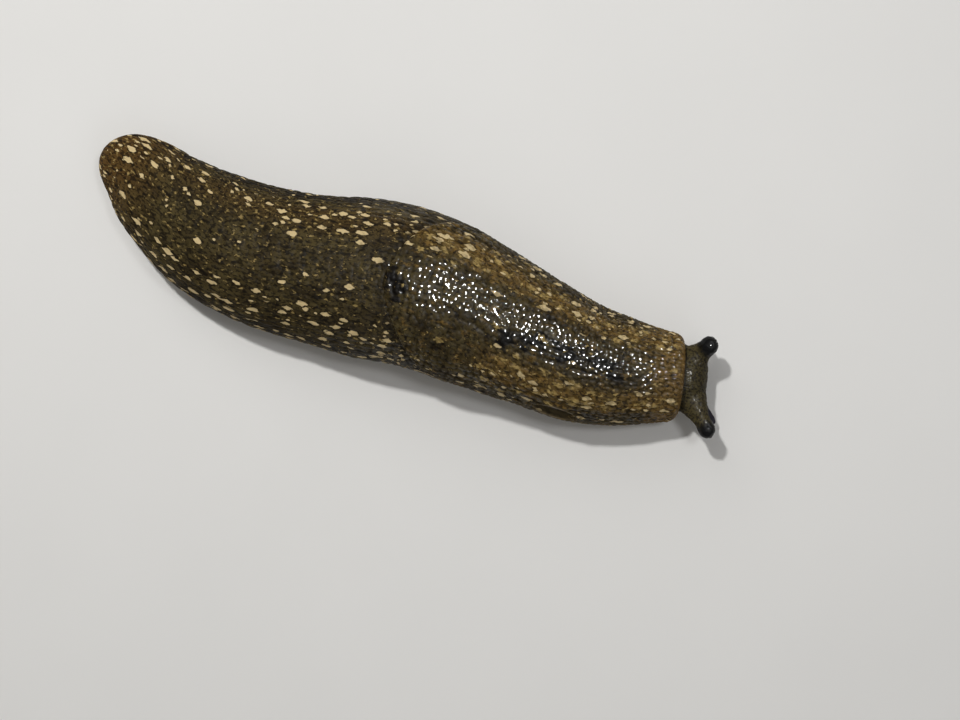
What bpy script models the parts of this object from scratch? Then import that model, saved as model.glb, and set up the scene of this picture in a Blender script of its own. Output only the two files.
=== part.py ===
# Kerry slug, a still life-size model that rests on its own flat sole.
# The body runs along X with the head at +X, its left side is +Y and up is +Z.
# Shapes are worked out in millimetres and written to the meshes in metres.

import math

import bpy
import numpy as np

MM = 0.001

# Body line from tail to head: along X, centre line Y, half width, height of the back
BODY_STATIONS = (
    (-32.7, 2.35, 4.20, 3.6),
    (-29.0, 1.50, 4.20, 4.8),
    (-25.0, -0.20, 5.00, 6.2),
    (-20.0, -1.70, 6.25, 7.5),
    (-14.0, -2.23, 6.95, 8.5),
    (-8.0, -1.55, 7.38, 9.3),
    (-3.0, -0.68, 7.93, 9.9),
    (2.5, -0.05, 7.76, 10.6),
    (8.0, -0.36, 7.30, 10.5),
    (14.0, -0.98, 6.65, 9.6),
    (20.0, -1.36, 6.02, 8.4),
    (24.0, -0.80, 5.53, 7.4),
    (27.0, -0.06, 4.85, 6.6),
    (30.0, 0.70, 4.15, 5.7),
    (32.4, 1.35, 2.75, 4.6),
)
ORIGIN = (0.984, -0.758)  # middle of the footprint, which becomes the model's origin

# Cross-section
FLANK_HEIGHT = 0.33  # height of the widest point, as a share of the back's height
FLANK_TURN_DEG = 34.0  # how far the flank turns in below its widest point
FLANK_LEAST = 0.25  # least height of the widest point above the trunk's underside
GAP = 0.3  # clearance between solids that meet face to face

# Tail end
TAIL_TIP_X = -32.7
TAIL_ROUND_X = -26.0  # where the tail starts to round off
TAIL_TIP_HEIGHT = 1.9

# Tubercles of the back and flanks, in rows along the body, and granules of the mantle
ROWS_ACROSS = 21
TUBERCLE_LENGTH = 1.9
TUBERCLE_DEPTH = 0.16
GRANULE_SIZE = 1.7
GRANULE_DEPTH = 0.13

# Cuts across the body, at their rear faces
TAIL_CUT = -23.0
REAR_CUT = -13.5
FRONT_CUT = -3.6
NECK_CUT = 25.6
HEAD_CUT = 29.0
NECK_SPACING = 1.1

# Foot
FOOT_HEIGHT = 1.25
FOOT_SHARE = 0.86  # half width of the foot, as a share of the body's
FOOT_FRINGE = 0.45  # how far the rim's upper edge rounds in
RIM_HEIGHT = 0.3  # height at which the rim is widest
SOLE_INSET = 0.25  # how much narrower the sole is than the rim
FOOT_SPACING = 2.0
FOOT_TAIL_X = -32.3
FOOT_FRONT_X = 30.9
FOOT_TAIL_ROUND = 6.0  # length over which the foot rounds off
FOOT_FRONT_ROUND = 3.0
FOOT_REAR_CUT = -12.0
FOOT_FRONT_CUT = 9.0

# Mantle
MANTLE_REAR_X = -1.3
MANTLE_FRONT_X = 29.7
MANTLE_SWEEP_LEFT = 7.0  # how far forward the rear border has come at the left margin
MANTLE_SWEEP_RIGHT = 10.0
MANTLE_SWEEP_POWER = 1.6
MANTLE_CORNER = 1.0  # how far the front corners round back
MANTLE_CORNER_POWER = 6  # the higher, the straighter the front border between them
MANTLE_MARGIN_DEG = 2.0  # margin's angle below the widest point
MANTLE_TOP_THICKNESS = 1.15
MANTLE_EDGE_THICKNESS = 0.6
MANTLE_THICKENING = 6.0  # length over which it thickens from the rear border
MANTLE_THINNING_X = 22.0  # where it starts to thin towards the front
MANTLE_THINNING = 0.70  # share of its thickness lost over the last 8 mm
MANTLE_LIP = 0.3  # how far the rear border stands proud of the back
LIP_RISE = 1.2  # lengths over which the lip rises, holds and falls
LIP_HOLD = 3.0
LIP_FALL = 5.0
TUCK_LEAD = 1.5  # how far behind the mantle the trunk starts to sink
TUCK_LENGTH = 1.2
BREATHING_PORE_X = 18.9
BREATHING_PORE_DEG = 25.0  # above the widest point, on the right side
BREATHING_PORE_LENGTH = 4.0
BREATHING_PORE_HEIGHT = 2.0
BREATHING_PORE_DEPTH = 0.50

# Head: along X, half width, top, underside
HEAD_STATIONS = (
    (29.0, 3.25, 4.75, 1.60),
    (30.2, 3.20, 5.00, 1.50),
    (31.0, 3.10, 4.65, 1.20),
    (32.4, 2.95, 3.80, 1.00),
)
HEAD_WIDEST = 0.38  # height of the widest point, as a share of the head's depth
HEAD_ROUND_X = 31.0
HEAD_FRONT_X = 32.35
HEAD_FRONT_HEIGHT = 2.1
HEAD_ROUND_POWER = 2.4  # above 2, so that the front is blunt
HEAD_OWN_X = 29.3  # where the head leaves the neck's section
HEAD_OWN_LENGTH = 1.6  # and the length over which it takes its own
MOUTH_X = 32.0
MOUTH_Z = 1.45
MOUTH_DEPTH = 0.4
MOUTH_WIDTH = 1.5
MOUTH_INWARD = (-0.9, -0.3, 0.3)

# Upper tentacles, in shares of their length: where the stalk stops narrowing, where the bulb starts
# to swell and how far it swells
STALK_NARROWING = 0.85
BULB_START = 0.6
BULB_SWELLING = 0.35

# Upper tentacles: path points (X, Y, Z) from inside the head outwards, radii of root, stalk, bulb
# and eye, and how far along the path the stalk is cut off from the head
UPPER_TENTACLES = {
    "tentacle_upper_left": {
        "path": ((29.9, 2.0, 2.6), (30.45, 3.30, 3.4), (31.05, 4.50, 4.25)),
        "root": 1.70, "stalk": 0.88, "bulb": 0.96, "eye": 0.34, "cut": 2.3,
    },
    "tentacle_upper_right": {
        "path": ((31.0, -0.7, 2.6), (32.3, -2.0, 3.4), (33.75, -3.40, 3.90)),
        "root": 1.65, "stalk": 0.76, "bulb": 0.86, "eye": 0.32, "cut": 2.5,
    },
}

# Lower tentacles: the same, with the radius of the rounded tip
LOWER_TENTACLES = {
    "tentacle_lower_left": {
        "path": ((30.7, 2.6, 1.85), (31.2, 3.45, 1.6), (31.7, 4.25, 1.3)),
        "root": 0.55, "tip": 0.40, "cut": 1.35,
    },
    "tentacle_lower_right": {
        "path": ((31.9, -0.55, 1.9), (33.1, -1.45, 1.7), (34.35, -2.35, 1.3)),
        "root": 0.50, "tip": 0.38, "cut": 1.25,
    },
}

# Ground colours of the animal
OLIVE = (0.075, 0.062, 0.030)
AMBER = (0.110, 0.065, 0.025)
SLATE = (0.045, 0.042, 0.032)
CREAM = (0.420, 0.360, 0.230)
BLACK = (0.006, 0.006, 0.007)
WET_SKIN = 0.35  # roughness
GLOSSY_EYE = 0.08


def hermite(table, column, at):
    """Smooth curve through a column of a station table, with central slopes."""
    table = np.array(table)
    x, y = table[:, 0], table[:, column]
    slope = np.gradient(y, x)
    i = np.clip(np.searchsorted(x, at, side="right") - 1, 0, len(x) - 2)
    span = x[i + 1] - x[i]
    t = np.clip((at - x[i]) / span, 0.0, 1.0)
    return (
        (2 * t**3 - 3 * t**2 + 1) * y[i]
        + (t**3 - 2 * t**2 + t) * span * slope[i]
        + (-2 * t**3 + 3 * t**2) * y[i + 1]
        + (t**3 - t**2) * span * slope[i + 1]
    )


def ease(t):
    """Smooth step from 0 to 1."""
    t = np.clip(t, 0.0, 1.0)
    return t * t * (3.0 - 2.0 * t)


def place(x, across, z):
    """World points (mm) from a place along the body line, an offset to the left and a height."""
    step = 0.05
    y = hermite(BODY_STATIONS, 1, x)
    heading = np.arctan2(
        hermite(BODY_STATIONS, 1, x + step) - hermite(BODY_STATIONS, 1, x - step), 2 * step
    )
    points = np.stack(np.broadcast_arrays(
        x - np.sin(heading) * across - ORIGIN[0],
        y + np.cos(heading) * across - ORIGIN[1],
        z,
    ), axis=-1)
    return points.astype(float)


def rounding(x, start, tip, power=2.0):
    """1 along the body, falling to 0 at a rounded end."""
    t = np.clip((x - start) / (tip - start), 0.0, 1.0)
    return (1.0 - t**power) ** (1.0 / power)


def section(x, angle, depth=0.0):
    """Offset and height on the body's surface at an angle (0 left, 90 degrees up), sunk in by depth."""
    end = rounding(x, TAIL_ROUND_X, TAIL_TIP_X)
    width = hermite(BODY_STATIONS, 2, x) * end - depth
    back = hermite(BODY_STATIONS, 3, x)
    floor = FOOT_HEIGHT + GAP
    flank = np.maximum(FLANK_HEIGHT * back, floor + FLANK_LEAST)
    across = np.cos(angle) * np.maximum(width, 0.0)
    rise = np.maximum(np.sin(angle), 0.0) * (back - flank - depth)
    fall = np.maximum(-np.sin(angle), 0.0) / math.sin(math.radians(FLANK_TURN_DEG)) * (flank - floor)
    z = flank + rise - fall
    z = TAIL_TIP_HEIGHT + (z - TAIL_TIP_HEIGHT) * end
    return across, z


def mantle_side(angle):
    """-1 at the mantle's left margin, 0 on the back, 1 at the right margin."""
    reach = math.radians(90.0 + MANTLE_MARGIN_DEG)
    return np.clip((angle - math.pi / 2) / reach, -1.0, 1.0)


def mantle_rear(side):
    """X of the mantle's rear border: swept forward from the back down to each margin."""
    sweep = np.where(side < 0, MANTLE_SWEEP_LEFT, MANTLE_SWEEP_RIGHT)
    return MANTLE_REAR_X + sweep * np.abs(side) ** MANTLE_SWEEP_POWER


def mantle_front(side):
    """X of the mantle's front border: straight across with rounded corners."""
    rounded = (1.0 - np.abs(side) ** MANTLE_CORNER_POWER) ** 0.5
    return MANTLE_FRONT_X - MANTLE_CORNER * (1.0 - rounded)


def mantle_thickness(x, side):
    """Thick over the back, thin at the rear border and the margins."""
    inward = ease((x - mantle_rear(side)) / MANTLE_THICKENING) * (1.0 - np.abs(side) ** 3)
    front = 1.0 - MANTLE_THINNING * ease((x - MANTLE_THINNING_X) / 8.0)
    return MANTLE_EDGE_THICKNESS + (MANTLE_TOP_THICKNESS - MANTLE_EDGE_THICKNESS) * inward * front


def tuck(x, angle):
    """How far the trunk lies below the body's outer surface: under the mantle, and 0 behind it."""
    side = mantle_side(angle)
    under = ease((x - mantle_rear(side) + TUCK_LEAD) / TUCK_LENGTH)
    return (mantle_thickness(x, side) + GAP) * under


def make_mesh(name, points, faces, colour, roughness):
    """Object with its own material from points in mm and lists of corner numbers."""
    mesh = bpy.data.meshes.new(name)
    mesh.from_pydata((points * MM).tolist(), [], faces)
    mesh.validate()
    mesh.shade_smooth()
    mesh.set_sharp_from_angle(angle=math.radians(50))
    node = bpy.data.objects.new(name, mesh)
    bpy.context.scene.collection.objects.link(node)
    material = bpy.data.materials.new(name)
    material.use_nodes = True
    shader = material.node_tree.nodes["Principled BSDF"]
    shader.inputs["Base Color"].default_value = (*colour, 1.0)
    shader.inputs["Roughness"].default_value = roughness
    shader.inputs["Metallic"].default_value = 0.0
    mesh.materials.append(material)
    return node


def loft(name, rings, colour, roughness=WET_SKIN):
    """Closed solid over rings of points, each ring joined to the next and both ends filled."""
    count, around = rings.shape[:2]
    points = np.concatenate([rings.reshape(-1, 3), rings[0].mean(0)[None], rings[-1].mean(0)[None]])
    first, last = count * around, count * around + 1
    faces = []
    for j in range(around):
        k = (j + 1) % around
        faces.append((first, k, j))
        for i in range(count - 1):
            a, b = i * around, (i + 1) * around
            faces.append((a + j, a + k, b + k, b + j))
        faces.append((last, (count - 1) * around + j, (count - 1) * around + k))
    return make_mesh(name, points, faces, colour, roughness)


def shell(name, outer, inner, colour, roughness=WET_SKIN):
    """Closed solid between two grids of points that share their border."""
    rows, columns = outer.shape[:2]
    points = np.concatenate([outer.reshape(-1, 3), inner.reshape(-1, 3)])
    below = rows * columns
    faces = []
    for i in range(rows - 1):
        for j in range(columns - 1):
            a, b = i * columns + j, i * columns + j + 1
            c, d = b + columns, a + columns
            faces.append((a, b, c, d))
            faces.append((below + a, below + d, below + c, below + b))
    border = list(range(columns))
    border += [i * columns + columns - 1 for i in range(1, rows)]
    border += [(rows - 1) * columns + j for j in range(columns - 2, -1, -1)]
    border += [i * columns for i in range(rows - 2, 0, -1)]
    for a, b in zip(border, border[1:] + border[:1]):
        faces.append((b, a, below + a, below + b))
    return make_mesh(name, points, faces, colour, roughness)


def across_ring(angle, floor_steps):
    """Angles of the points between the right flank's foot and the left one's, for the underside."""
    return np.linspace(angle[-1], angle[0] + 2 * math.pi, floor_steps + 2)[1:-1]


def close_below(across, z, floor_steps):
    """Adds the flat underside to rings that run over the back from flank to flank."""
    blend = np.linspace(0.0, 1.0, floor_steps + 2)[None, 1:-1]
    across_below = across[:, -1:] * (1 - blend) + across[:, :1] * blend
    z_below = z[:, -1:] * (1 - blend) + z[:, :1] * blend
    return np.hstack([across, across_below]), np.hstack([z, z_below])


def tubercles(count):
    """Depth of the grooves round staggered tubercles, one row for every two columns of points."""
    ring = np.arange(count)[:, None]
    column = np.arange(2 * ROWS_ACROSS + 1)[None]
    crest = (column % 2 == 1) & ((ring + column // 2) % 2 == 0)
    shoulder = (column % 2 == 1) | ((ring + column // 2) % 2 == 0)
    return TUBERCLE_DEPTH * np.where(crest, 0.0, np.where(shoulder, 0.55, 1.0))


def trunk_rings(x, floor_steps=5):
    """Rings of trunk at places along X: tubercles over the back and flanks, flat below."""
    turn = math.radians(FLANK_TURN_DEG)
    angle = np.linspace(-turn, math.pi + turn, 2 * ROWS_ACROSS + 1)[None]
    x = x[:, None]
    sunk = tuck(x, angle)
    shown = 1.0 - ease(sunk / 0.4)
    ends = np.ones(x.shape)
    ends[[0, -1]] = 0.0
    small = rounding(x, TAIL_ROUND_X, TAIL_TIP_X)
    relief = tubercles(len(x)) * shown * ends * small
    across, z = section(x, angle, sunk + relief)
    return place(x, *close_below(across, z, floor_steps))


def spread(start, end, spacing):
    """Evenly spaced places from start to end."""
    return np.linspace(start, end, max(2, round(abs(end - start) / spacing)) + 1)


def towards_tip(start, tip, count):
    """Places that crowd towards a rounded tip and stop just short of it."""
    turn = np.linspace(0.0, math.pi / 2, count)
    return start + (tip - start) * np.sin(turn) * 0.999


def build_trunk():
    """Tail and the three lengths of trunk behind the neck, the front one sunk under the mantle."""
    spacing = TUBERCLE_LENGTH / 2
    tip = towards_tip(TAIL_ROUND_X, TAIL_TIP_X, 12)[::-1]
    tail = np.concatenate([tip, spread(TAIL_ROUND_X, TAIL_CUT, spacing)[1:]])
    loft("tail", trunk_rings(tail), AMBER)
    loft("trunk_rear", trunk_rings(spread(TAIL_CUT + GAP, REAR_CUT, spacing)), OLIVE)
    loft("trunk_middle", trunk_rings(spread(REAR_CUT + GAP, FRONT_CUT, spacing)), OLIVE)
    shown = spread(FRONT_CUT + GAP, MANTLE_REAR_X + MANTLE_SWEEP_RIGHT, spacing)
    covered = spread(MANTLE_REAR_X + MANTLE_SWEEP_RIGHT, NECK_CUT, TUBERCLE_LENGTH)
    loft("trunk_front", trunk_rings(np.concatenate([shown, covered[1:]])), OLIVE)


def build_mantle():
    """Shield over the front of the back, free at its front edge, with the breathing pore on its right."""
    length = MANTLE_FRONT_X - MANTLE_REAR_X
    rows = 2 * round(length / GRANULE_SIZE) + 1
    columns = 2 * round(0.78 * length / GRANULE_SIZE) + 1
    along = np.linspace(0.0, 1.0, rows)[:, None]
    side = np.linspace(-1.0, 1.0, columns)[None]
    granule = (np.arange(rows)[:, None] + np.arange(columns)[None]) % 2 * GRANULE_DEPTH
    granule = granule * (np.minimum(along, 1.0 - along) > 0.0) * (np.abs(side) < 0.999)
    angle = math.pi / 2 + side * math.radians(90.0 + MANTLE_MARGIN_DEG)
    x = mantle_rear(side) + (mantle_front(side) - mantle_rear(side)) * along
    from_rear = x - mantle_rear(side)
    lip = MANTLE_LIP * ease(from_rear / LIP_RISE) * (1.0 - ease((from_rear - LIP_HOLD) / LIP_FALL))
    lip *= 1.0 - side**2
    pore_angle = math.pi - math.radians(BREATHING_PORE_DEG)
    reach = hermite(BODY_STATIONS, 2, x)
    pore = np.sqrt(((x - BREATHING_PORE_X) / (BREATHING_PORE_LENGTH / 2)) ** 2
                   + ((angle - pore_angle) * reach / (BREATHING_PORE_HEIGHT / 2)) ** 2)
    dent = BREATHING_PORE_DEPTH * (1.0 - ease(pore))
    outer = place(x, *section(x, angle, dent - lip + granule * (pore > 1.2)))
    inner = place(x, *section(x, angle, mantle_thickness(x, side)))
    shell("mantle", outer, inner, AMBER)


def build_neck():
    """Short neck hidden under the mantle's front."""
    loft("neck", trunk_rings(spread(NECK_CUT + GAP, HEAD_CUT - GAP, NECK_SPACING)), SLATE)


def head_rings():
    """Rings of the head, from the neck's own section to a blunt front with the mouth below."""
    floor_steps = 7
    x = np.concatenate([
        spread(HEAD_CUT, HEAD_ROUND_X, 0.5)[:-1], towards_tip(HEAD_ROUND_X, HEAD_FRONT_X, 8),
    ])[:, None]
    turn = math.radians(FLANK_TURN_DEG)
    angle = np.linspace(-turn, math.pi + turn, 25)
    across, z = section(x, angle[None], tuck(x, angle[None]))
    across, z = close_below(across, z, floor_steps)
    angle = np.concatenate([angle, across_ring(angle, floor_steps)])[None]
    end = rounding(x, HEAD_ROUND_X, HEAD_FRONT_X, HEAD_ROUND_POWER)
    width = hermite(HEAD_STATIONS, 1, x) * end
    top = HEAD_FRONT_HEIGHT + (hermite(HEAD_STATIONS, 2, x) - HEAD_FRONT_HEIGHT) * end
    low = HEAD_FRONT_HEIGHT + (hermite(HEAD_STATIONS, 3, x) - HEAD_FRONT_HEIGHT) * end
    middle = low + (top - low) * HEAD_WIDEST
    oval_z = middle + np.where(np.sin(angle) > 0, (top - middle), (middle - low)) * np.sin(angle)
    own = ease((x - HEAD_OWN_X) / HEAD_OWN_LENGTH)
    points = place(x, across + (width * np.cos(angle) - across) * own, z + (oval_z - z) * own)
    mouth = place(np.array(MOUTH_X), np.array(0.0), np.array(MOUTH_Z))
    reach = np.linalg.norm(points - mouth, axis=2)
    return points + np.array(MOUTH_INWARD) * (MOUTH_DEPTH * (1.0 - ease(reach / MOUTH_WIDTH)))[..., None]


def tube_rings(path, places, radii, around=16):
    """Rings across a smooth path: places run from 0 at its start to 1 at its end, and may pass 1."""
    path = np.array(path) - (*ORIGIN, 0.0)
    knots = np.linspace(0.0, 1.0, len(path))
    table = np.column_stack([knots, path])
    step = 0.02

    def point(t):
        inside = np.clip(t, 0.0, 1.0)
        near = np.array([hermite(table, c, inside) for c in (1, 2, 3)]).T
        ahead = np.array([hermite(table, c, np.clip(t, step, 1.0)) for c in (1, 2, 3)]).T
        behind = np.array([hermite(table, c, np.clip(t, step, 1.0) - step) for c in (1, 2, 3)]).T
        along = (ahead - behind) / np.linalg.norm(ahead - behind, axis=1)[:, None]
        return near, along

    length = np.linalg.norm(np.diff(path, axis=0), axis=1).sum()
    centre, along = point(places)
    centre = centre + along * (np.maximum(places - 1.0, 0.0) * length)[:, None]
    side = np.cross((0.0, 0.0, 1.0), along)
    side /= np.linalg.norm(side, axis=1)[:, None]
    lift = np.cross(along, side)
    turn = np.linspace(0.0, 2 * math.pi, around, endpoint=False)
    return (
        centre[:, None]
        + radii[:, None, None] * (np.cos(turn)[None, :, None] * side[:, None]
                                  + np.sin(turn)[None, :, None] * lift[:, None])
    )


def path_length(path):
    """Length of a path's straight legs in mm."""
    return float(np.linalg.norm(np.diff(np.array(path), axis=0), axis=1).sum())


def build_upper_tentacle(name, shape):
    """Stalk with a bulb at its end and an eye set in the bulb; returns the stub that the head keeps."""
    path, bulb = shape["path"], shape["bulb"]
    length = path_length(path)
    cut_at = shape["cut"] / length

    def radius(t):
        narrowing = shape["root"] + (shape["stalk"] - shape["root"]) * ease(t / STALK_NARROWING)
        return narrowing + (bulb - narrowing) * ease((t - BULB_START) / BULB_SWELLING)

    stub_places = np.linspace(0.0, cut_at, 3)
    stub = loft(name + "_stub", tube_rings(path, stub_places, radius(stub_places)), SLATE)
    stalk_places = np.linspace(cut_at + GAP / length, 1.0, 6)
    round_turn = np.radians([25.0, 45.0])
    cup = shape["eye"] + GAP
    rim = bulb * math.cos(round_turn[-1])
    eye_centre = bulb * math.sin(round_turn[-1]) + 0.1
    bowl = np.radians([20.0, 45.0, 70.0])
    places = np.concatenate([
        stalk_places,
        1.0 + bulb * np.sin(round_turn) / length,
        1.0 + (eye_centre - cup * np.sin(bowl)) / length,
    ])
    radii = np.concatenate([
        radius(stalk_places), bulb * np.cos(round_turn), np.minimum(cup * np.cos(bowl), rim - 0.05),
    ])
    loft(name, tube_rings(path, places, radii), SLATE)
    eye_turn = np.radians(np.linspace(-80.0, 80.0, 7))
    eye_places = 1.0 + (eye_centre + shape["eye"] * np.sin(eye_turn)) / length
    eye_rings = tube_rings(path, eye_places, shape["eye"] * np.cos(eye_turn), 12)
    loft(name.replace("tentacle_upper", "eye"), eye_rings, BLACK, GLOSSY_EYE)
    return stub


def build_lower_tentacle(name, shape):
    """Short feeler with a rounded end; returns the stub that the head keeps."""
    path, root, tip = shape["path"], shape["root"], shape["tip"]
    length = path_length(path)
    cut_at = shape["cut"] / length
    stub_places = np.linspace(0.0, cut_at, 3)
    stub = loft(name + "_stub", tube_rings(path, stub_places, root + (tip - root) * stub_places, 12), SLATE)
    stalk_places = np.linspace(cut_at + GAP / length, 1.0, 4)
    round_turn = np.radians([30.0, 60.0, 82.0])
    places = np.concatenate([stalk_places, 1.0 + tip * np.sin(round_turn) / length])
    radii = np.concatenate([root + (tip - root) * stalk_places, tip * np.cos(round_turn)])
    loft(name, tube_rings(path, places, radii, 12), SLATE)
    return stub


def join_into(node, pieces):
    """One closed solid from a node and the pieces sunk into it."""
    group = bpy.data.collections.new("joined")
    for piece in pieces:
        group.objects.link(piece)
    union = node.modifiers.new("union", "BOOLEAN")
    union.operation = "UNION"
    union.operand_type = "COLLECTION"
    union.collection = group
    union.solver = "EXACT"
    bpy.context.view_layer.objects.active = node
    bpy.ops.object.modifier_apply(modifier=union.name)
    for piece in pieces:
        bpy.data.objects.remove(piece, do_unlink=True)
    bpy.data.collections.remove(group)


def build_head_and_tentacles():
    """Head with the roots of its four tentacles, each tentacle cut off a gap further out."""
    head = loft("head", head_rings(), SLATE)
    stubs = [build_upper_tentacle(name, shape) for name, shape in UPPER_TENTACLES.items()]
    stubs += [build_lower_tentacle(name, shape) for name, shape in LOWER_TENTACLES.items()]
    join_into(head, stubs)


def foot_rings(x):
    """Rings of the foot: a flat sole, a rim that leans out and rounds in at its top, a flat upper face."""
    x = x[:, None]
    width = hermite(BODY_STATIONS, 2, x) * FOOT_SHARE
    width = width * rounding(x, FOOT_TAIL_X + FOOT_TAIL_ROUND, FOOT_TAIL_X)
    width = width * rounding(x, FOOT_FRONT_X - FOOT_FRONT_ROUND, FOOT_FRONT_X)
    corner = np.minimum(FOOT_FRINGE, width * 0.5)
    turn = np.linspace(0.0, math.pi / 2, 4)[None]
    rim_across = width - corner + corner * np.cos(turn)
    rim_z = FOOT_HEIGHT - corner + corner * np.sin(turn)
    top = np.linspace(0.6, -0.6, 3)[None] * (width - corner)
    floor = np.linspace(-0.7, 0.7, 4)[None] * width
    sole = width - np.minimum(SOLE_INSET, width * 0.25)
    across = np.hstack([sole, width, rim_across, top, -rim_across[:, ::-1], -width, -sole, floor])
    ground = np.zeros_like(width)
    z = np.hstack([
        ground, ground + RIM_HEIGHT, rim_z, ground + np.full_like(top, FOOT_HEIGHT), rim_z[:, ::-1],
        ground + RIM_HEIGHT, ground, np.zeros_like(floor),
    ])
    return place(x, across, z)


def build_foot():
    """Muscular foot in three lengths, flat below."""
    tail = towards_tip(FOOT_TAIL_X + FOOT_TAIL_ROUND, FOOT_TAIL_X, 8)[::-1]
    rear = spread(FOOT_TAIL_X + FOOT_TAIL_ROUND, FOOT_REAR_CUT, FOOT_SPACING)[1:]
    loft("foot_rear", foot_rings(np.concatenate([tail, rear])), CREAM)
    loft("foot_middle", foot_rings(spread(FOOT_REAR_CUT + GAP, FOOT_FRONT_CUT, FOOT_SPACING)), CREAM)
    straight = spread(FOOT_FRONT_CUT + GAP, FOOT_FRONT_X - FOOT_FRONT_ROUND, FOOT_SPACING)[:-1]
    front = towards_tip(FOOT_FRONT_X - FOOT_FRONT_ROUND, FOOT_FRONT_X, 8)
    loft("foot_front", foot_rings(np.concatenate([straight, front])), CREAM)


def main():
    for old in list(bpy.data.objects):
        bpy.data.objects.remove(old, do_unlink=True)
    build_foot()
    build_trunk()
    build_mantle()
    build_neck()
    build_head_and_tentacles()


main()
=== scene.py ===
import math
import bpy
import numpy as np
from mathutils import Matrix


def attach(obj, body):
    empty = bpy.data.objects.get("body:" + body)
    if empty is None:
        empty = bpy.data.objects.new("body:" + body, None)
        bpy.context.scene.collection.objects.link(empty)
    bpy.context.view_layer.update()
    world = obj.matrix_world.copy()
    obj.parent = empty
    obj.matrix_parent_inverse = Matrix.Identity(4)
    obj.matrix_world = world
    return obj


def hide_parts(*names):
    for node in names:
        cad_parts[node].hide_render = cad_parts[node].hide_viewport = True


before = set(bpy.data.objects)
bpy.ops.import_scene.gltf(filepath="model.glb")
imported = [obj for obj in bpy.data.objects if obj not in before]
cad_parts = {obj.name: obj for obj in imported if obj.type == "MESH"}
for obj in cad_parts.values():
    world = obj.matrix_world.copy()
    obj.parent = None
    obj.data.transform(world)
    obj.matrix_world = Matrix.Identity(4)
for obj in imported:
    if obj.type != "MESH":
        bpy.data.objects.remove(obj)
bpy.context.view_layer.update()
print("frame loaded with", len(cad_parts), "nodes")

mm = 0.001

# The animal's own shape, in mm: along X from tail to head, centre line Y, half width, height of the back
bodyShape = {
    "stations": (
        (-32.7, 2.35, 4.20, 3.6), (-29.0, 1.50, 4.20, 4.8), (-25.0, -0.20, 5.00, 6.2),
        (-20.0, -1.70, 6.25, 7.5), (-14.0, -2.23, 6.95, 8.5), (-8.0, -1.55, 7.38, 9.3),
        (-3.0, -0.68, 7.93, 9.9), (2.5, -0.05, 7.76, 10.6), (8.0, -0.36, 7.30, 10.5),
        (14.0, -0.98, 6.65, 9.6), (20.0, -1.36, 6.02, 8.4), (24.0, -0.80, 5.53, 7.4),
        (27.0, -0.06, 4.85, 6.6), (30.0, 0.70, 4.15, 5.7), (32.4, 1.35, 2.75, 4.6),
    ),
    "origin": (0.984, -0.758),  # the point of that line that is the frame's origin
    "flankShare": 0.33,  # height of the widest point over the height of the back
    "leastFlank": 0.25,  # and its least height above the groove
    "flankTurn": math.radians(34.0),  # how far the flank turns in below it
    "tailTip": -32.7,
    "tailRound": -26.0,
    "tipHeight": 1.9,
    "grooveHeight": 1.55,  # where the flank ends above the foot's rim
}


# Smooth curve through a column of a station table: cubic Hermite with central slopes
def hermite(table, column, at):
    table = np.array(table)
    x, y = table[:, 0], table[:, column]
    slope = np.gradient(y, x)
    i = np.clip(np.searchsorted(x, at, side="right") - 1, 0, len(x) - 2)
    span = x[i + 1] - x[i]
    t = np.clip((at - x[i]) / span, 0.0, 1.0)
    return (
        (2 * t**3 - 3 * t**2 + 1) * y[i]
        + (t**3 - 2 * t**2 + t) * span * slope[i]
        + (-2 * t**3 + 3 * t**2) * y[i + 1]
        + (t**3 - t**2) * span * slope[i + 1]
    )


# 3t^2 - 2t^3 between 0 and 1
def ease(t):
    t = np.clip(t, 0.0, 1.0)
    return t * t * (3.0 - 2.0 * t)


# 0 up to a start and an amount from a length beyond it on; a negative length runs the other way
def rise(value, start, length, amount=1.0):
    return amount * ease((value - start) / length)


# An amount at the middle of a band and 0 beyond its half width, rounded
def band(value, middle, halfWidth, amount=1.0):
    return amount * ease(1.0 - np.abs(value - middle) / halfWidth)


# 1 along the body, (1 - t^power)^(1/power) at a rounded end
def rounding(x, start, tip, power=2.0):
    t = np.clip((x - start) / (tip - start), 0.0, 1.0)
    return (1.0 - t**power) ** (1.0 / power)


# 1 along the body, 0 at the tail's tip
def tailEnd(x):
    return rounding(x, bodyShape["tailRound"], bodyShape["tailTip"])


# Y of the centre line
def centreY(x):
    return hermite(bodyShape["stations"], 1, x)


# Half width of the body, before the tail rounds off
def halfWidth(x):
    return hermite(bodyShape["stations"], 2, x)


# Direction of the centre line, in radians to the left of +X: the slope over a short step
def heading(x):
    gap = 0.05
    return np.arctan2(centreY(x + gap) - centreY(x - gap), 2 * gap)


# Points in mm: the centre line at x, moved across it to the left and up
def place(x, across, z):
    turn = heading(x)
    return np.stack(np.broadcast_arrays(
        x - np.sin(turn) * across - bodyShape["origin"][0],
        centreY(x) + np.cos(turn) * across - bodyShape["origin"][1],
        z,
    ), axis=-1).astype(float)


# Along and across the body for points in mm: four steps towards the foot of the perpendicular
def alongAndAcross(points):
    px = points[:, 0] + bodyShape["origin"][0]
    py = points[:, 1] + bodyShape["origin"][1]
    x = px.copy()
    for _ in range(4):
        turn = heading(x)
        dx, dy = px - x, py - centreY(x)
        x = x + (dx * np.cos(turn) + dy * np.sin(turn)) * np.cos(turn)
    turn = heading(x)
    return x, -(px - x) * np.sin(turn) + (py - centreY(x)) * np.cos(turn)


# Half width, height of the back and height of the widest point, before the tail rounds off
def bodySize(x):
    back = hermite(bodyShape["stations"], 3, x)
    least = bodyShape["grooveHeight"] + bodyShape["leastFlank"]
    return halfWidth(x), back, np.maximum(bodyShape["flankShare"] * back, least)


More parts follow.
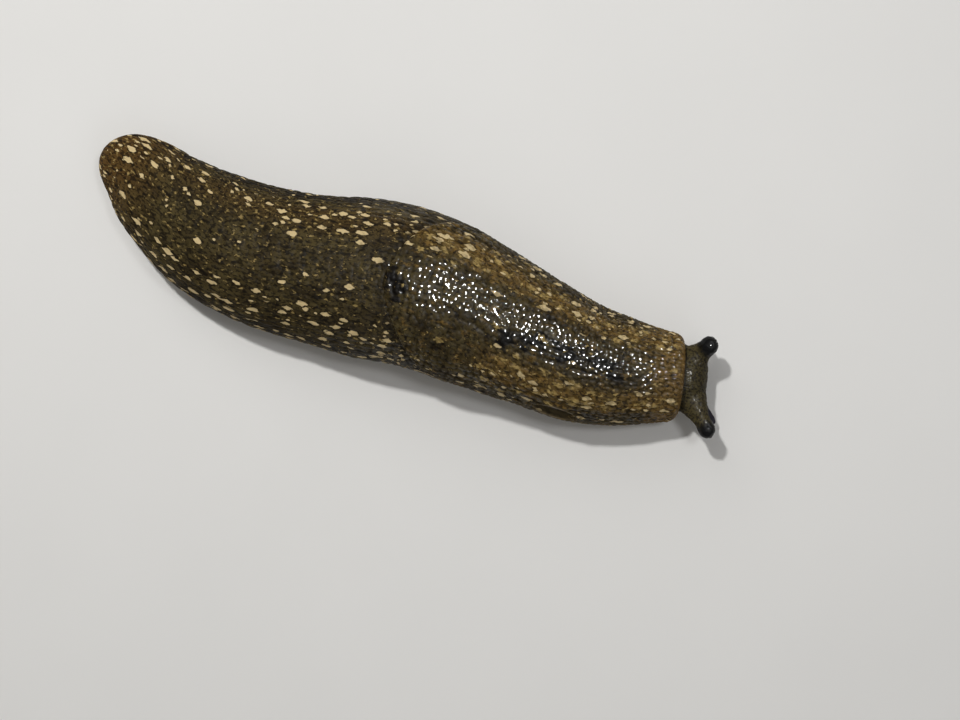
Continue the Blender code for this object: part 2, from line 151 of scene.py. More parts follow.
# Across and height at an angle round the body (0 left, pi/2 top): half ellipse above the widest
# point, a shallower curve below it, both sunk in by a depth
def bodySection(x, angle, depth=0.0):
    end = tailEnd(x)
    width, back, flank = bodySize(x)
    across = np.cos(angle) * np.maximum(width * end - depth, 0.0)
    up = np.maximum(np.sin(angle), 0.0) * (back - flank - depth)
    drop = (flank - bodyShape["grooveHeight"]) / math.sin(bodyShape["flankTurn"])
    z = flank + up - np.maximum(-np.sin(angle), 0.0) * drop
    return across, bodyShape["tipHeight"] + (z - bodyShape["tipHeight"]) * end


# Angle round the body of points in mm, the inverse of bodySection
def angleOf(x, across, z):
    width, back, flank = bodySize(x)
    end = np.maximum(tailEnd(x), 0.05)
    z = bodyShape["tipHeight"] + (z - bodyShape["tipHeight"]) / end
    upper = np.arctan2((z - flank) / (back - flank), across / (width * end))
    fall = np.clip((flank - z) / (flank - bodyShape["grooveHeight"]), 0.0, 1.6)
    lower = fall * bodyShape["flankTurn"]
    return np.where(z >= flank, upper, np.where(across > 0, -lower, math.pi + lower))


# Smooth value noise between -1 and 1: a seeded lattice, eased between its corners
def valueNoise(u, v, seed):
    lattice = np.random.default_rng(seed).uniform(-1.0, 1.0, (64, 64))
    iu, iv = np.floor(u).astype(int), np.floor(v).astype(int)
    tu, tv = ease(u - iu), ease(v - iv)
    a, b = iu % 64, (iu + 1) % 64
    c, d = iv % 64, (iv + 1) % 64
    low = lattice[a, c] * (1 - tu) + lattice[b, c] * tu
    high = lattice[a, d] * (1 - tu) + lattice[b, d] * tu
    return low * (1 - tv) + high * tv


# Distances to the nearest and next nearest point of a jittered lattice, and the nearest one's number
def cellDistances(u, v, jitter, seed):
    rng = np.random.default_rng(seed)
    moveU = rng.uniform(-0.5, 0.5, (128, 128)) * jitter
    moveV = rng.uniform(-0.5, 0.5, (128, 128)) * jitter
    worth = rng.uniform(0.0, 1.0, (128, 128))
    iu, iv = np.floor(u).astype(int), np.floor(v).astype(int)
    first = np.full(np.shape(u), 9.0)
    second = np.full(np.shape(u), 9.0)
    number = np.zeros(np.shape(u))
    for du in (-1, 0, 1):
        for dv in (-1, 0, 1):
            a, b = (iu + du) % 128, (iv + dv) % 128
            reach = np.hypot(iu + du + 0.5 + moveU[a, b] - u, iv + dv + 0.5 + moveV[a, b] - v)
            nearer = reach < first
            second = np.where(nearer, first, np.minimum(second, reach))
            number = np.where(nearer, worth[a, b], number)
            first = np.where(nearer, reach, first)
    return first, second, number


# Height of tubercles or granules, about 0.3 in the grooves and 1 on top: a quarter circle over the
# gap to the next cell, times 1 - roundness * distance^2, times 0.8 to 1.1 by the cell's number
def pebbles(u, v, jitter, seed, roundness):
    first, second, number = cellDistances(u, v, jitter, seed)
    gap = np.clip((second - first) / 0.35, 0.0, 1.0)
    groove = np.sqrt(np.maximum(1.0 - (1.0 - gap) ** 2, 0.0))
    return (0.35 + 0.65 * groove) * (1.0 - roundness * first**2) * (0.8 + 0.3 * number)


# One piece from points in mm and faces
def newMesh(name, points, faces, smooth=True):
    mesh = bpy.data.meshes.new(name)
    mesh.from_pydata((points * mm).tolist(), [], faces)
    mesh.validate()
    if smooth:
        mesh.shade_smooth()
    piece = bpy.data.objects.new(name, mesh)
    bpy.context.scene.collection.objects.link(piece)
    return piece


# Closed surface through rings of points, each joined to the next, with a fan at both ends
def ringSurface(name, rings):
    count, around = rings.shape[:2]
    points = np.concatenate([rings.reshape(-1, 3), rings[0].mean(0)[None], rings[-1].mean(0)[None]])
    j = np.arange(around)
    k = (j + 1) % around
    base = np.arange(count - 1)[:, None] * around
    quads = np.stack([base + j, base + k, base + around + k, base + around + j], axis=-1).reshape(-1, 4)
    last = (count - 1) * around
    first = np.stack([np.full(around, count * around), k, j], axis=-1)
    final = np.stack([np.full(around, count * around + 1), last + j, last + k], axis=-1)
    return newMesh(name, points, quads.tolist() + first.tolist() + final.tolist())


# Closed surface from an upper and a lower grid that share their border
def pillowSurface(name, upper, lower):
    rows, columns = upper.shape[:2]
    number = np.arange(rows * columns).reshape(rows, columns)
    inside = np.zeros((rows, columns), bool)
    inside[1:-1, 1:-1] = True
    under = number.copy()
    under[inside] = rows * columns + np.arange(inside.sum())
    faces = []
    for grid, turn in ((number, 1), (under, -1)):
        corners = [grid[:-1, :-1], grid[:-1, 1:], grid[1:, 1:], grid[1:, :-1]]
        faces += np.stack(corners[::turn], axis=-1).reshape(-1, 4).tolist()
    return newMesh(name, np.concatenate([upper.reshape(-1, 3), lower[inside]]), faces)


# Places from start to end at an even spacing
def spread(start, end, spacing):
    return np.linspace(start, end, max(2, round(abs(end - start) / spacing)) + 1)


# Places that crowd towards a rounded tip as sin(turn), up to a share of the way
def towardsTip(start, tip, count, reach=0.9995):
    return start + (tip - start) * np.sin(np.linspace(0.0, math.asin(reach), count))


# Rows from 0 to 1, three times as close at both ends, where a rim rounds off; the density
# falls off as exp(-distance / reach)
def crowdedEnds(count, reach):
    t = np.linspace(0.0, 1.0, 4001)
    density = 1.0 + 2.0 * (np.exp(-t / reach) + np.exp(-(1.0 - t) / reach))
    total = np.cumsum(density) - density[0]
    return np.interp(np.linspace(0.0, total[-1], count), total, t)


mantleShape = {
    "rear": -1.3,
    "front": 29.7,
    "sweepLeft": 7.0,  # how far forward the rear border comes on each flank
    "sweepRight": 10.0,
    "sweepPower": 1.6,
    "corner": 1.0,
    "margin": math.radians(2.0),  # margin's angle below the widest point
    "topThickness": 1.15,
    "edgeThickness": 0.6,
    "thickening": 6.0,  # length behind the rear border over which it thickens
    "thinning": (22.0, 8.0, 0.70),  # where it thins towards the front, over what length, and its share
    "lip": 0.26,
    "lipFade": (2.5, 5.0),
    "rearDip": 0.35,  # how far the rear edge dips to the back
    "rearDipFade": (0.9, 2.5),
    "rim": 0.5,  # width over which the edge rounds off
    "rows": 234,
    "columns": 164,
    "crowding": 0.012,
    "swell": (0.12, 0.25, 4.0, 4),  # height, per mm along, per side, seed
    "granule": 0.58,
    "granuleHeight": 0.13,
    "granuleBase": 0.05,  # height of the grooves that lies at the mantle's own surface
    "granuleFade": (0.5, 0.9, 0.25),  # width at the edge, distance from the pore, and share that stays
    "granuleJitter": 0.75,
    "granuleRound": 2.3,
    "wobble": 0.4,  # how far their rows stray, in granules
    "girthRadius": 7.0,
    "seed": 5,
}

poreShape = {
    "x": 18.9,
    "angle": math.radians(180.0 - 25.0),
    "halfLength": 2.0,
    "halfHeight": 0.95,
    "depth": 0.45,
    "lip": (1.45, 0.55, 0.14),  # distance and half width of the lip round it, and its height
    "cornerRise": 6.0,  # how fast the distance grows beyond its corners
}


# -1 at the mantle's left margin, 0 on the back, 1 at its right margin
def mantleSide(angle):
    return np.clip((angle - math.pi / 2) / (math.pi / 2 + mantleShape["margin"]), -1.0, 1.0)


# X of the mantle's rear border: rear + sweep * |side|^power
def mantleRear(side):
    sweep = np.where(side < 0, mantleShape["sweepLeft"], mantleShape["sweepRight"])
    return mantleShape["rear"] + sweep * np.abs(side) ** mantleShape["sweepPower"]


# X of the mantle's front border: straight, with corners that fall back as 1 - sqrt(1 - side^6)
def mantleFront(side):
    return mantleShape["front"] - mantleShape["corner"] * (1.0 - (1.0 - np.abs(side) ** 6) ** 0.5)


# Thickness: the edge's, plus a crown of 1 - |side|^3 that grows from the rear and thins to the front
def mantleThickness(x, side):
    inward = rise(x, mantleRear(side), mantleShape["thickening"]) * (1.0 - np.abs(side) ** 3)
    front = 1.0 - rise(x, *mantleShape["thinning"])
    edge = mantleShape["edgeThickness"]
    return edge + (mantleShape["topThickness"] - edge) * inward * front


# Distance from the breathing pore: 1 on an almond with halfHeight * (1 - (along / halfLength)^2)
def poreDistance(x, angle):
    along = np.clip(np.abs(x - poreShape["x"]) / poreShape["halfLength"], 0.0, 1.6)
    up = np.abs(angle - poreShape["angle"]) * halfWidth(x)
    almond = poreShape["halfHeight"] * np.maximum(1.0 - along**2, 0.05)
    beyond = 1.0 + (along - 1.0) * poreShape["cornerRise"] + up / poreShape["halfHeight"]
    return np.where(along < 1.0, up / almond, beyond)


# Relief of the mantle: round pebbles of one size, with a wobble in their rows
def granuleRelief(x, angle):
    across = (angle - math.pi / 2) * mantleShape["girthRadius"] / mantleShape["granule"]
    along = x / mantleShape["granule"]
    wobble = mantleShape["wobble"] * valueNoise(along * 0.3, across * 0.3, 17)
    jitter, roundness = mantleShape["granuleJitter"], mantleShape["granuleRound"]
    return pebbles(along + wobble, across - wobble, jitter, mantleShape["seed"], roundness)


# The mantle over x and side, as depths below the body's section: the outer surface lies at
# dent - lip - relief, the inner one at the thickness, and at the edge both turn to the middle by
# 1 - sqrt(1 - rim^2)
def buildMantle():
    shape = mantleShape
    along = crowdedEnds(shape["rows"], shape["crowding"])[:, None]
    side = (2.0 * crowdedEnds(shape["columns"], shape["crowding"]) - 1.0)[None]
    angle = math.pi / 2 + side * (math.pi / 2 + shape["margin"])
    x = mantleRear(side) + (mantleFront(side) - mantleRear(side)) * along
    width, back, flank = bodySize(x)
    girth = (width + back - flank) / 2 * (math.pi / 2 + shape["margin"])
    fromRear = x - mantleRear(side)
    fromFront = mantleFront(side) - x
    fromMargin = (1.0 - np.abs(side)) * girth
    edge = np.minimum(np.minimum(fromRear * 0.8, fromFront), fromMargin)
    rim = np.clip(1.0 - edge / shape["rim"], 0.0, 1.0)
    roundOff = 1.0 - np.sqrt(np.maximum(1.0 - rim**2, 0.0))
    thickness = mantleThickness(x, side)
    lip = shape["lip"] * ease(fromRear / 0.5) * (1.0 - rise(fromRear, *shape["lipFade"])) * (1 - side**4)
    rearDip = shape["rearDip"] * (1.0 - rise(fromRear, *shape["rearDipFade"])) * roundOff
    pore = poreDistance(x, angle)
    dent = poreShape["depth"] * ease(1.15 - pore) - band(pore, *poreShape["lip"])
    height, perMm, perSide, seed = shape["swell"]
    swell = height * valueNoise(x * perMm, side * perSide, seed)
    edgeFade, poreFade, least = shape["granuleFade"]
    shown = ease(edge / edgeFade) * ease(pore - poreFade)
    granules = granuleRelief(x, angle) * shape["granuleHeight"] - shape["granuleBase"]
    relief = granules * (least + (1 - least) * shown) + swell
    middle = thickness / 2
    outer = middle * roundOff + rearDip - lip - relief * (1 - roundOff) + dent
    inner = thickness - middle * roundOff + rearDip
    inner = np.where(edge <= 1e-9, outer, np.maximum(inner, outer + 0.02))
    upper, lower = (place(x, *bodySection(x, angle, depth)) for depth in (outer, inner))
    return pillowSurface("mantleSurface", upper, lower)


# Back and flanks, and how they run under the mantle and into the neck
trunkShape = {
    "rows": 46,  # rows of long tubercles from rim to rim
    "length": 1.25,
    "height": 0.21,
    "base": 0.06,  # height of the grooves that lies at the body's own surface
    "jitter": 0.55,
    "roundness": 0.9,
    "wander": 0.35,  # how far the rows stray from a straight line, in rows
    "seed": 11,
    "grooveRelief": (0.25, 0.35),  # angle over which the relief grows above the groove, and its least share
    "swell": (0.10, 0.22, 0.12, 8),  # height, per mm along, per row, seed
    "cover": (0.1, 1.0),  # where the mantle starts to cover it, from the mantle's rear border
    "underMantle": 0.75,  # depth under the mantle over its thickness
    "underPore": 0.12,
    "neck": (26.3, 1.7),  # where the neck starts, and over what length
    "neckGap": 0.12,
    "spacing": 0.30,
    "hiddenFrom": 9.0,  # from here on only the flanks show, and the rings may be wider apart
    "hiddenSpacing": 0.42,
    "end": 28.2,
    "tailRings": 42,
}

footShape = {
    "share": 0.86,  # half width over the body's
    "rimHeight": 1.47,
    "rimPoints": 13,
    "rimShare": 0.945,  # across at the top of the rim, and how it changes on the way down
    "rimBulge": 0.055,
    "rimGroove": (0.09, 0.13, 0.10),
    "rimSpread": (0.0, 0.625, 0.045),
    "soleEdge": (0.86, 0.14, 0.06),
    "solePoints": 16,
    "front": 30.9,
    "frontRound": 3.0,
    "frontTop": 1.6,
    "frontSpacing": 0.25,
    "frontRings": 16,
    "frontPoints": 12,
    "tail": -32.7,
    "tailRound": 6.7,
    "lineSpacing": 0.62,  # fine lines across the fringe
    "lineDepth": 0.05,
    "lineWander": (2.0, 0.6, 21),  # in radians, per mm, seed
    "widestShown": 28.0,  # the rim keeps this width under the neck
}


# Place among the rows of tubercles: 0 on the middle of the back
def tubercleRow(angle):
    return (angle - math.pi / 2) / (math.pi + 2 * bodyShape["flankTurn"]) * trunkShape["rows"]


# Relief of the back and flanks: long pebbles in rows that run from tail to head
def tubercleRelief(x, angle):
    shape, around = trunkShape, tubercleRow(angle)
    wander = shape["wander"] * valueNoise(x * 0.35, around * 0.18, 3)
    return pebbles(x / shape["length"], around + wander, shape["jitter"], shape["seed"], shape["roundness"])


# Profile of the foot's rim on one side, from the groove above it down to the sole: across as a
# share of the foot's half width, bulging as sin(pi t), and height as (1 - t)^0.85
def rimProfile():
    t = np.linspace(0.0, 1.0, footShape["rimPoints"])
    bulge = footShape["rimBulge"] * np.sin(np.clip(t * 1.25, 0, 1) * math.pi)
    share = footShape["rimShare"] + bulge - band(t, *footShape["rimGroove"])
    share = share + rise(t, *footShape["rimSpread"])
    share = share - rise(t, *footShape["soleEdge"])
    return share, footShape["rimHeight"] * (1.0 - t) ** 0.85


# Half width of the foot, rounded off at both ends
def footWidth(x):
    width = halfWidth(x) * footShape["share"]
    width = width * rounding(x, footShape["tail"] + footShape["tailRound"], footShape["tail"])
    return width * rounding(x, footShape["front"] - footShape["frontRound"], footShape["front"])


# Rings of back, flanks, foot rim and sole: the body's section, raised by the relief and sunk under
# the mantle, then the rim's profile, and a flat sole. The back has four columns a row of tubercles
def trunkRings(x):
    shape = trunkShape
    x = x[:, None]
    turn = bodyShape["flankTurn"]
    angle = np.linspace(-turn, math.pi + turn, 4 * shape["rows"] + 1)[None]
    side = mantleSide(angle)
    covered = rise(x - mantleRear(side), *shape["cover"])
    neck = rise(x, *shape["neck"])
    thickness = mantleThickness(x, side)
    sunk = covered * (shape["underMantle"] * thickness * (1 - neck) + (thickness + shape["neckGap"]) * neck)
    sunk = sunk + covered * shape["underPore"] * ease(1.5 - poreDistance(x, angle))
    small = tailEnd(x)
    reach, least = shape["grooveRelief"]
    lowest = ease(np.minimum(angle + turn, math.pi + turn - angle) / reach)
    height, perMm, perRow, seed = shape["swell"]
    swell = height * valueNoise(x * perMm, tubercleRow(angle) * perRow, seed)
    relief = tubercleRelief(x, angle) * shape["height"] * (least + (1 - least) * lowest) - shape["base"]
    across, z = bodySection(x, angle, sunk - relief * small * (1 - covered) - swell * small)
    share, rimHeight = rimProfile()
    foot = footWidth(np.minimum(x, footShape["widestShown"]))
    t = np.linspace(0.0, 1.0, len(share))
    blend = ease(t * 4.0)[None]  # from the flank into the rim's own profile
    amount, perMm, seed = footShape["lineWander"]
    wander = amount * valueNoise(x * perMm, np.zeros_like(x), seed)
    lines = footShape["lineDepth"] * np.sin(x * 2 * math.pi / footShape["lineSpacing"] + wander)
    lines = lines * np.sin(t * math.pi)[None]
    rightRim = across[:, -1:] * (1 - blend) + -foot * share[None] * blend - lines
    leftRim = across[:, :1] * (1 - blend) + foot * share[None] * blend + lines
    rimZ = rimHeight[None] / rimHeight[0] * np.minimum(z[:, -1:], footShape["rimHeight"])
    sole = np.linspace(-1.0, 1.0, footShape["solePoints"] + 2)[None, 1:-1] * np.abs(rightRim[:, -1:])
    return place(
        x,
        np.hstack([across, rightRim, sole, leftRim[:, ::-1]]),
        np.hstack([z, rimZ, np.zeros_like(sole), rimZ[:, ::-1]]),
    )


# The trunk from the tail's tip to the neck
def buildTrunk():
    shape = trunkShape
    tail = towardsTip(bodyShape["tailRound"], bodyShape["tailTip"], shape["tailRings"], 0.9999)[::-1]
    shown = spread(bodyShape["tailRound"], shape["hiddenFrom"], shape["spacing"])[1:]
    covered = spread(shape["hiddenFrom"], shape["end"], shape["hiddenSpacing"])[1:]
    return ringSurface("trunkSurface", trunkRings(np.concatenate([tail, shown, covered])))


headShape = {
    # along X, half width, top, underside
    "stations": (
        (29.0, 3.25, 4.75, 1.60),
        (30.2, 3.20, 5.00, 1.50),
        (31.0, 3.10, 4.65, 1.20),
        (32.4, 2.95, 3.80, 1.00),
    ),
    "start": 27.2,
    "ownForm": (29.3, 1.6),  # where the neck's section gives way to the head's own, and over what length
    "round": 31.0,
    "front": 32.35,
    "frontHeight": 2.1,
    "widest": 0.38,
    "neckGap": 0.10,
    "angles": 49,
    "undersideAngles": 13,
    "spacing": 0.2,
    "frontRings": 14,
    "voxel": 0.115,
    "softening": 6,
}

# Centre lines in mm, and radii of root, stalk, bulb and eye
tentacleShape = {
    "upperLeft": {
        "path": ((29.9, 2.0, 2.6), (30.45, 3.30, 3.4), (31.05, 4.50, 4.25)),
        "root": 1.85, "stalk": 0.93, "bulb": 0.96, "eye": 0.34,
    },
    "upperRight": {
        "path": ((31.0, -0.7, 2.6), (32.3, -2.0, 3.4), (33.75, -3.40, 3.90)),
        "root": 1.75, "stalk": 0.80, "bulb": 0.86, "eye": 0.32,
    },
    "lowerLeft": {
        "path": ((30.7, 2.6, 1.85), (31.2, 3.45, 1.6), (31.7, 4.25, 1.3)),
        "root": 0.55, "stalk": 0.40, "bulb": 0.40,
    },
    "lowerRight": {
        "path": ((31.9, -0.55, 1.9), (33.1, -1.45, 1.7), (34.35, -2.35, 1.3)),
        "root": 0.50, "stalk": 0.38, "bulb": 0.38,
    },
}

# Where along the path the stalk has its own radius, and where the bulb starts and how fast it
# swells; then the number of rings on stalk and tip, and of points round each
tentacleForm = {
    "upper": {"narrowing": 0.85, "swelling": (0.6, 0.35), "rings": 26, "tipRings": 12, "around": 28},
    "lower": {"narrowing": 1.0, "swelling": None, "rings": 18, "tipRings": 9, "around": 22},
}


# Unit circles across each of some directions: cos * side + sin * lift
def spokes(along, around):
    side = np.cross((0.0, 0.0, 1.0), along)
    side /= np.linalg.norm(side, axis=1)[:, None]
    lift = np.cross(along, side)
    turn = np.linspace(0.0, 2 * math.pi, around, endpoint=False)
    return np.cos(turn)[None, :, None] * side[:, None] + np.sin(turn)[None, :, None] * lift[:, None]


# Rings round a path, centre + radius * spokes; places pass 1 to go straight on beyond its end
def tubeRings(path, places, radii, around):
    path = np.array(path) - (*bodyShape["origin"], 0.0)
    table = np.column_stack([np.linspace(0.0, 1.0, len(path)), path])
    gap = 0.02
    length = np.linalg.norm(np.diff(path, axis=0), axis=1).sum()

    def at(t):
        return np.array([hermite(table, c, t) for c in (1, 2, 3)]).T

    along = at(np.clip(places, gap, 1.0)) - at(np.clip(places, gap, 1.0) - gap)
    along = along / np.linalg.norm(along, axis=1)[:, None]
    centre = at(np.clip(places, 0.0, 1.0)) + along * (np.maximum(places - 1.0, 0.0) * length)[:, None]
    return centre[:, None] + radii[:, None, None] * spokes(along, around), centre, along


# A tentacle: its radius eases from root to stalk, then to the bulb, and ends in a half ball;
# returns its surface, and the middle and direction of the bulb
def buildTentacle(name):
    shape, form = tentacleShape[name], tentacleForm[name[:5]]
    length = np.linalg.norm(np.diff(np.array(shape["path"]), axis=0), axis=1).sum()
    stalk = np.linspace(0.0, 1.0, form["rings"])
    radii = shape["root"] + (shape["stalk"] - shape["root"]) * ease(stalk / form["narrowing"])
    if form["swelling"]:
        radii = radii + (shape["bulb"] - radii) * rise(stalk, *form["swelling"])
    turn = np.radians(np.linspace(8.0, 88.0, form["tipRings"]))
    places = np.concatenate([stalk, 1.0 + shape["bulb"] * np.sin(turn) / length])
    radii = np.concatenate([radii, shape["bulb"] * np.cos(turn)])
    rings, centre, along = tubeRings(shape["path"], places, radii, form["around"])
    return ringSurface(name, rings), centre[len(stalk) - 1], along[-1]


# Rings of the head: the neck's own section eases into an oval that rounds off at the front
def headRings():
    x = np.concatenate([
        spread(headShape["start"], headShape["round"], headShape["spacing"])[:-1],
        towardsTip(headShape["round"], headShape["front"], headShape["frontRings"]),
    ])[:, None]
    turn = bodyShape["flankTurn"]
    angle = np.linspace(-turn, math.pi + turn, headShape["angles"])
    below = np.linspace(math.pi + turn, 2 * math.pi - turn, headShape["undersideAngles"] + 2)[1:-1]
    side = mantleSide(angle[None])
    sunk = (mantleThickness(x, side) + headShape["neckGap"]) * ease((x - mantleRear(side)) / 1.2)
    across, z = bodySection(x, angle[None], sunk)
    blend = np.linspace(0.0, 1.0, len(below) + 2)[None, 1:-1]
    across = np.hstack([across, across[:, -1:] * (1 - blend) + across[:, :1] * blend])
    z = np.hstack([z, z[:, -1:] * (1 - blend) + z[:, :1] * blend])
    full = np.concatenate([angle, below])[None]
    end = rounding(x, headShape["round"], headShape["front"], 2.4)
    level = headShape["frontHeight"]
    width = hermite(headShape["stations"], 1, x) * end
    top = level + (hermite(headShape["stations"], 2, x) - level) * end
    low = level + (hermite(headShape["stations"], 3, x) - level) * end
    middle = low + (top - low) * headShape["widest"]
    ovalZ = middle + np.where(np.sin(full) > 0, top - middle, middle - low) * np.sin(full)
    own = rise(x, *headShape["ownForm"])
    return place(x, across + (width * np.cos(full) - across) * own, z + (ovalZ - z) * own)


# Front of the foot: sole, rim and upper face, rounded off below the mouth
def footFrontRings():
    start = footShape["front"] - footShape["frontRound"]
    x = np.concatenate([
        spread(headShape["start"], start, footShape["frontSpacing"])[:-1],
        towardsTip(start, footShape["front"], footShape["frontRings"]),
    ])[:, None]
    share, height = rimProfile()
    foot = footWidth(x)
    sole = np.linspace(-1.0, 1.0, footShape["frontPoints"] + 2)[None, 1:-1] * foot * share[-1]
    top = np.linspace(1.0, -1.0, footShape["frontPoints"] + 2)[None, 1:-1] * foot * share[0]
    rim = height[None] + np.zeros_like(foot)
    return place(
        x,
        np.hstack([top, -foot * share[None], sole, foot * share[None, ::-1]]),
        np.hstack([np.full_like(top, footShape["frontTop"]), rim, np.zeros_like(sole), rim[:, ::-1]]),
    )


# Applies every modifier on a piece
def applyModifiers(piece):
    evaluated = piece.evaluated_get(bpy.context.evaluated_depsgraph_get())
    mesh = bpy.data.meshes.new_from_object(evaluated)
    piece.modifiers.clear()
    old = piece.data
    piece.data = mesh
    bpy.data.meshes.remove(old)


# Head, tentacles and front of the foot fused into one soft surface; keeps where the eyes sit
def buildHead():
    parts = [ringSurface("headSurface", headRings()), ringSurface("footFront", footFrontRings())]
    places = {}
    for name in tentacleShape:
        part, *places[name] = buildTentacle(name)
        parts.append(part)
    bpy.ops.object.select_all(action="DESELECT")
    for part in parts:
        part.select_set(True)
    head = parts[0]
    bpy.context.view_layer.objects.active = head
    bpy.ops.object.join()
    remesh = head.modifiers.new("fuse", "REMESH")
    remesh.mode = "VOXEL"
    remesh.voxel_size = headShape["voxel"] * mm
    soften = head.modifiers.new("soften", "SMOOTH")
    soften.factor = 0.5
    soften.iterations = headShape["softening"]
    applyModifiers(head)
    return head, places


# One closed surface from pieces that run into each other
def unite(piece, others):
    for other in others:
        union = piece.modifiers.new("union", "BOOLEAN")
        union.operation = "UNION"
        union.object = other
        union.solver = "MANIFOLD"
        applyModifiers(piece)
        bpy.data.objects.remove(other, do_unlink=True)


# One array of a mesh's own values
def readArray(source, attribute, kind=float, width=1):
    values = np.empty(len(source) * width, kind)
    source.foreach_get(attribute, values)
    return values.reshape(-1, width) if width > 1 else values


# Moves points towards the mean of their neighbours, as far as each one's weight says
def relax(mesh, weight, rounds):
    count = len(mesh.vertices)
    points = readArray(mesh.vertices, "co", width=3)
    a, b = readArray(mesh.edges, "vertices", int, 2).T
    degree = np.bincount(a, minlength=count) + np.bincount(b, minlength=count)
    for _ in range(rounds):
        mean = np.stack([
            np.bincount(a, points[b, c], count) + np.bincount(b, points[a, c], count) for c in range(3)
        ], axis=1) / np.maximum(degree, 1)[:, None]
        points += (mean - points) * weight[:, None]
    mesh.vertices.foreach_set("co", points.ravel())
    mesh.update()


# Points in mm and a flag for those on the mantle
def readSurface(mesh, mantleSlot):
    slots = readArray(mesh.polygons, "material_index", int)
    corners = readArray(mesh.loops, "vertex_index", int)
    onMantle = np.zeros(len(mesh.vertices), bool)
    onMantle[corners[np.repeat(slots == mantleSlot, readArray(mesh.polygons, "loop_total", int))]] = True
    return readArray(mesh.vertices, "co", width=3) / mm, onMantle


# Coordinate round the body in mm: over the back it draws in as the body narrows, below the
# widest points it follows the height
def skinLie(x, angle):
    width, _, flank = bodySize(x)
    upper = np.clip(angle, 0.0, math.pi) - math.pi / 2
    below = np.clip(angle, -math.pi, 0.0) + np.clip(angle - math.pi, 0.0, math.pi)
    drop = 1.15 * (flank - bodyShape["grooveHeight"]) / bodyShape["flankTurn"]
    return np.stack([x, upper * (0.5 + 0.92 * width * tailEnd(x)) + below * drop, 0.0 * x], axis=1)


# The same for the head, whose front would draw the lines together: x drops with height, and across
# spreads with height to either side
def headLie(x, across, z):
    return np.stack([x - 0.8 * z, across + 0.6 * z * np.tanh(across / 1.2), 0.0 * x], axis=1)


# Mouth under the head's front, and the fine folds of the head's skin
mouthShape = {
    "place": (32.1, 0.0, 1.5),
    # the size of the mouth's dark mark, which is painted shade round the mouth
    "size": (0.55, 0.95, 0.5),  # of its dark mark
    "slit": (-0.1, 0.75),  # middle and half height of the upright slit
    "slitWidth": 0.20,
    "crossWidth": 1.3,
    "crossArch": 0.12,
    "depth": 0.30,
    "lips": (0.55, 0.5, 0.14),  # distance from the slit, half width and height
    "lipsUp": (-0.15, 0.7),
    "front": 30.9,
    "heading": 32.0,
    "folds": (28.6, 1.0, 0.035),  # where they start, over what length, and their height
    "foldNoise": ((1.0, 1.9, 3.1, 33), (0.6, 4.0, 5.5, 34)),  # share, per mm along and across, seed
    # where the painted shade round the mouth fades
    "mark": (1.2, -1.0),  # where its dark mark fades
}

# Where the marks lie, as where each starts, over what length it grows (backwards if negative) and
# to what amount, if not 1: x in mm from tail to head, or degrees from the middle of the back. Rows,
# bands and the painted shade in the fold have their middle and half width
bodyMarking = {
    "tail": (-21.0, -9.0),
    "tailAmber": (-23.0, -9.0),
    "tailTip": (-28.5, -3.0, 0.35),
    "head": (26.5, 2.0),
    "headLie": (28.0, 1.0),  # where the head's own lie of the skin starts
    "headLieUp": (1.2, 0.6),  # and from what height
    "leftRow": (40.0, 24.0),
    "leftEdge": (60.0, 14.0, 0.22),
    "rightSpots": (19.0, 26.0, 0.95),
    # the flanks turn drier below this angle, and on the right painted shade darkens them
    "flank": (45.0, 30.0, 0.75),
    # painted shade that darkens the left flank below this angle
    "paintedLeftFlankShade": (45.0, 25.0, 0.42),
    "darkRow": (72.0, 20.0),
    "darkRowEnd": (4.0, -6.0),
    "wet": (-8.5, 7.0, 0.75),
    # painted shade in the fold at the mantle's rear border, only above a height
    "creaseShade": (-0.2, 1.0),  # from the mantle's rear border
    "creaseShadeLowest": 2.0,
    "sole": (0.30, -0.2),  # in height, as are the next two
    "fringe": (1.5, -0.25),
    "bulbFoot": (2.6, -0.5),
    "fringeFront": (30.95, 0.1),
    "bulb": (1.45, -0.5),  # distance in radii of the bulb
    "lilac": (2.3, -1.2),  # distance from the tip of the lower right tentacle
    "spotsAnywhere": 0.14,
    "spotsInRow": 0.80,
    "spotsOnTail": 0.42,
    "amberInRow": 0.35,
    "flecksOnTail": 0.6,
    "wetAnywhere": 0.12,
    "wetHead": 0.025,
    "wetBulb": 0.55,
}

mantleMarking = {
    "leftBand": (-0.47, 0.24),  # across, from -1 to 1
    "rightBand": (0.38, 0.26),
    "rightBandStart": (8.0, 5.0),
    "margins": (0.58, 0.12, 0.65),
    "amberFront": (24.5, 4.0),
    "frontEdge": (0.7, -0.7),
    "sideEdge": (86.0, 4.0),
    "sideEdgeStart": (12.0, 6.0),
    # painted shade in the fold along the rear border
    "creaseShade": (0.0, 0.7),
    "pore": (1.0, -0.45),  # distance from the pore, as are the next two
    "poreRim": (1.25, 0.40),
    # painted shade in the pore's slit
    "poreSlitShade": (0.6, -0.6),
    "patch": (0.1, 1.9, -0.4, 2.0),  # middle and reach along, then across
    "patchDepth": 1.25,
    "streakAcross": -2.0,
    "streakTurns": ((9.0, 7.0, 2.3), (20.0, 4.0, -0.9)),
    "streakWidth": 3.0,
    "streakStart": (7.0, 5.0),
    "streakEnd": (26.5, -4.0),
    "rightShade": (-4.0, 3.0, 0.6),
    "rightShadeStart": (2.0, 3.0),
    "rightShadeEnd": (15.0, -6.0),
    "spotsAnywhere": 0.07,
    "spotsInBands": 0.85,
    "spotsOffPatch": 0.9,
    "amberInBands": 0.85,
}


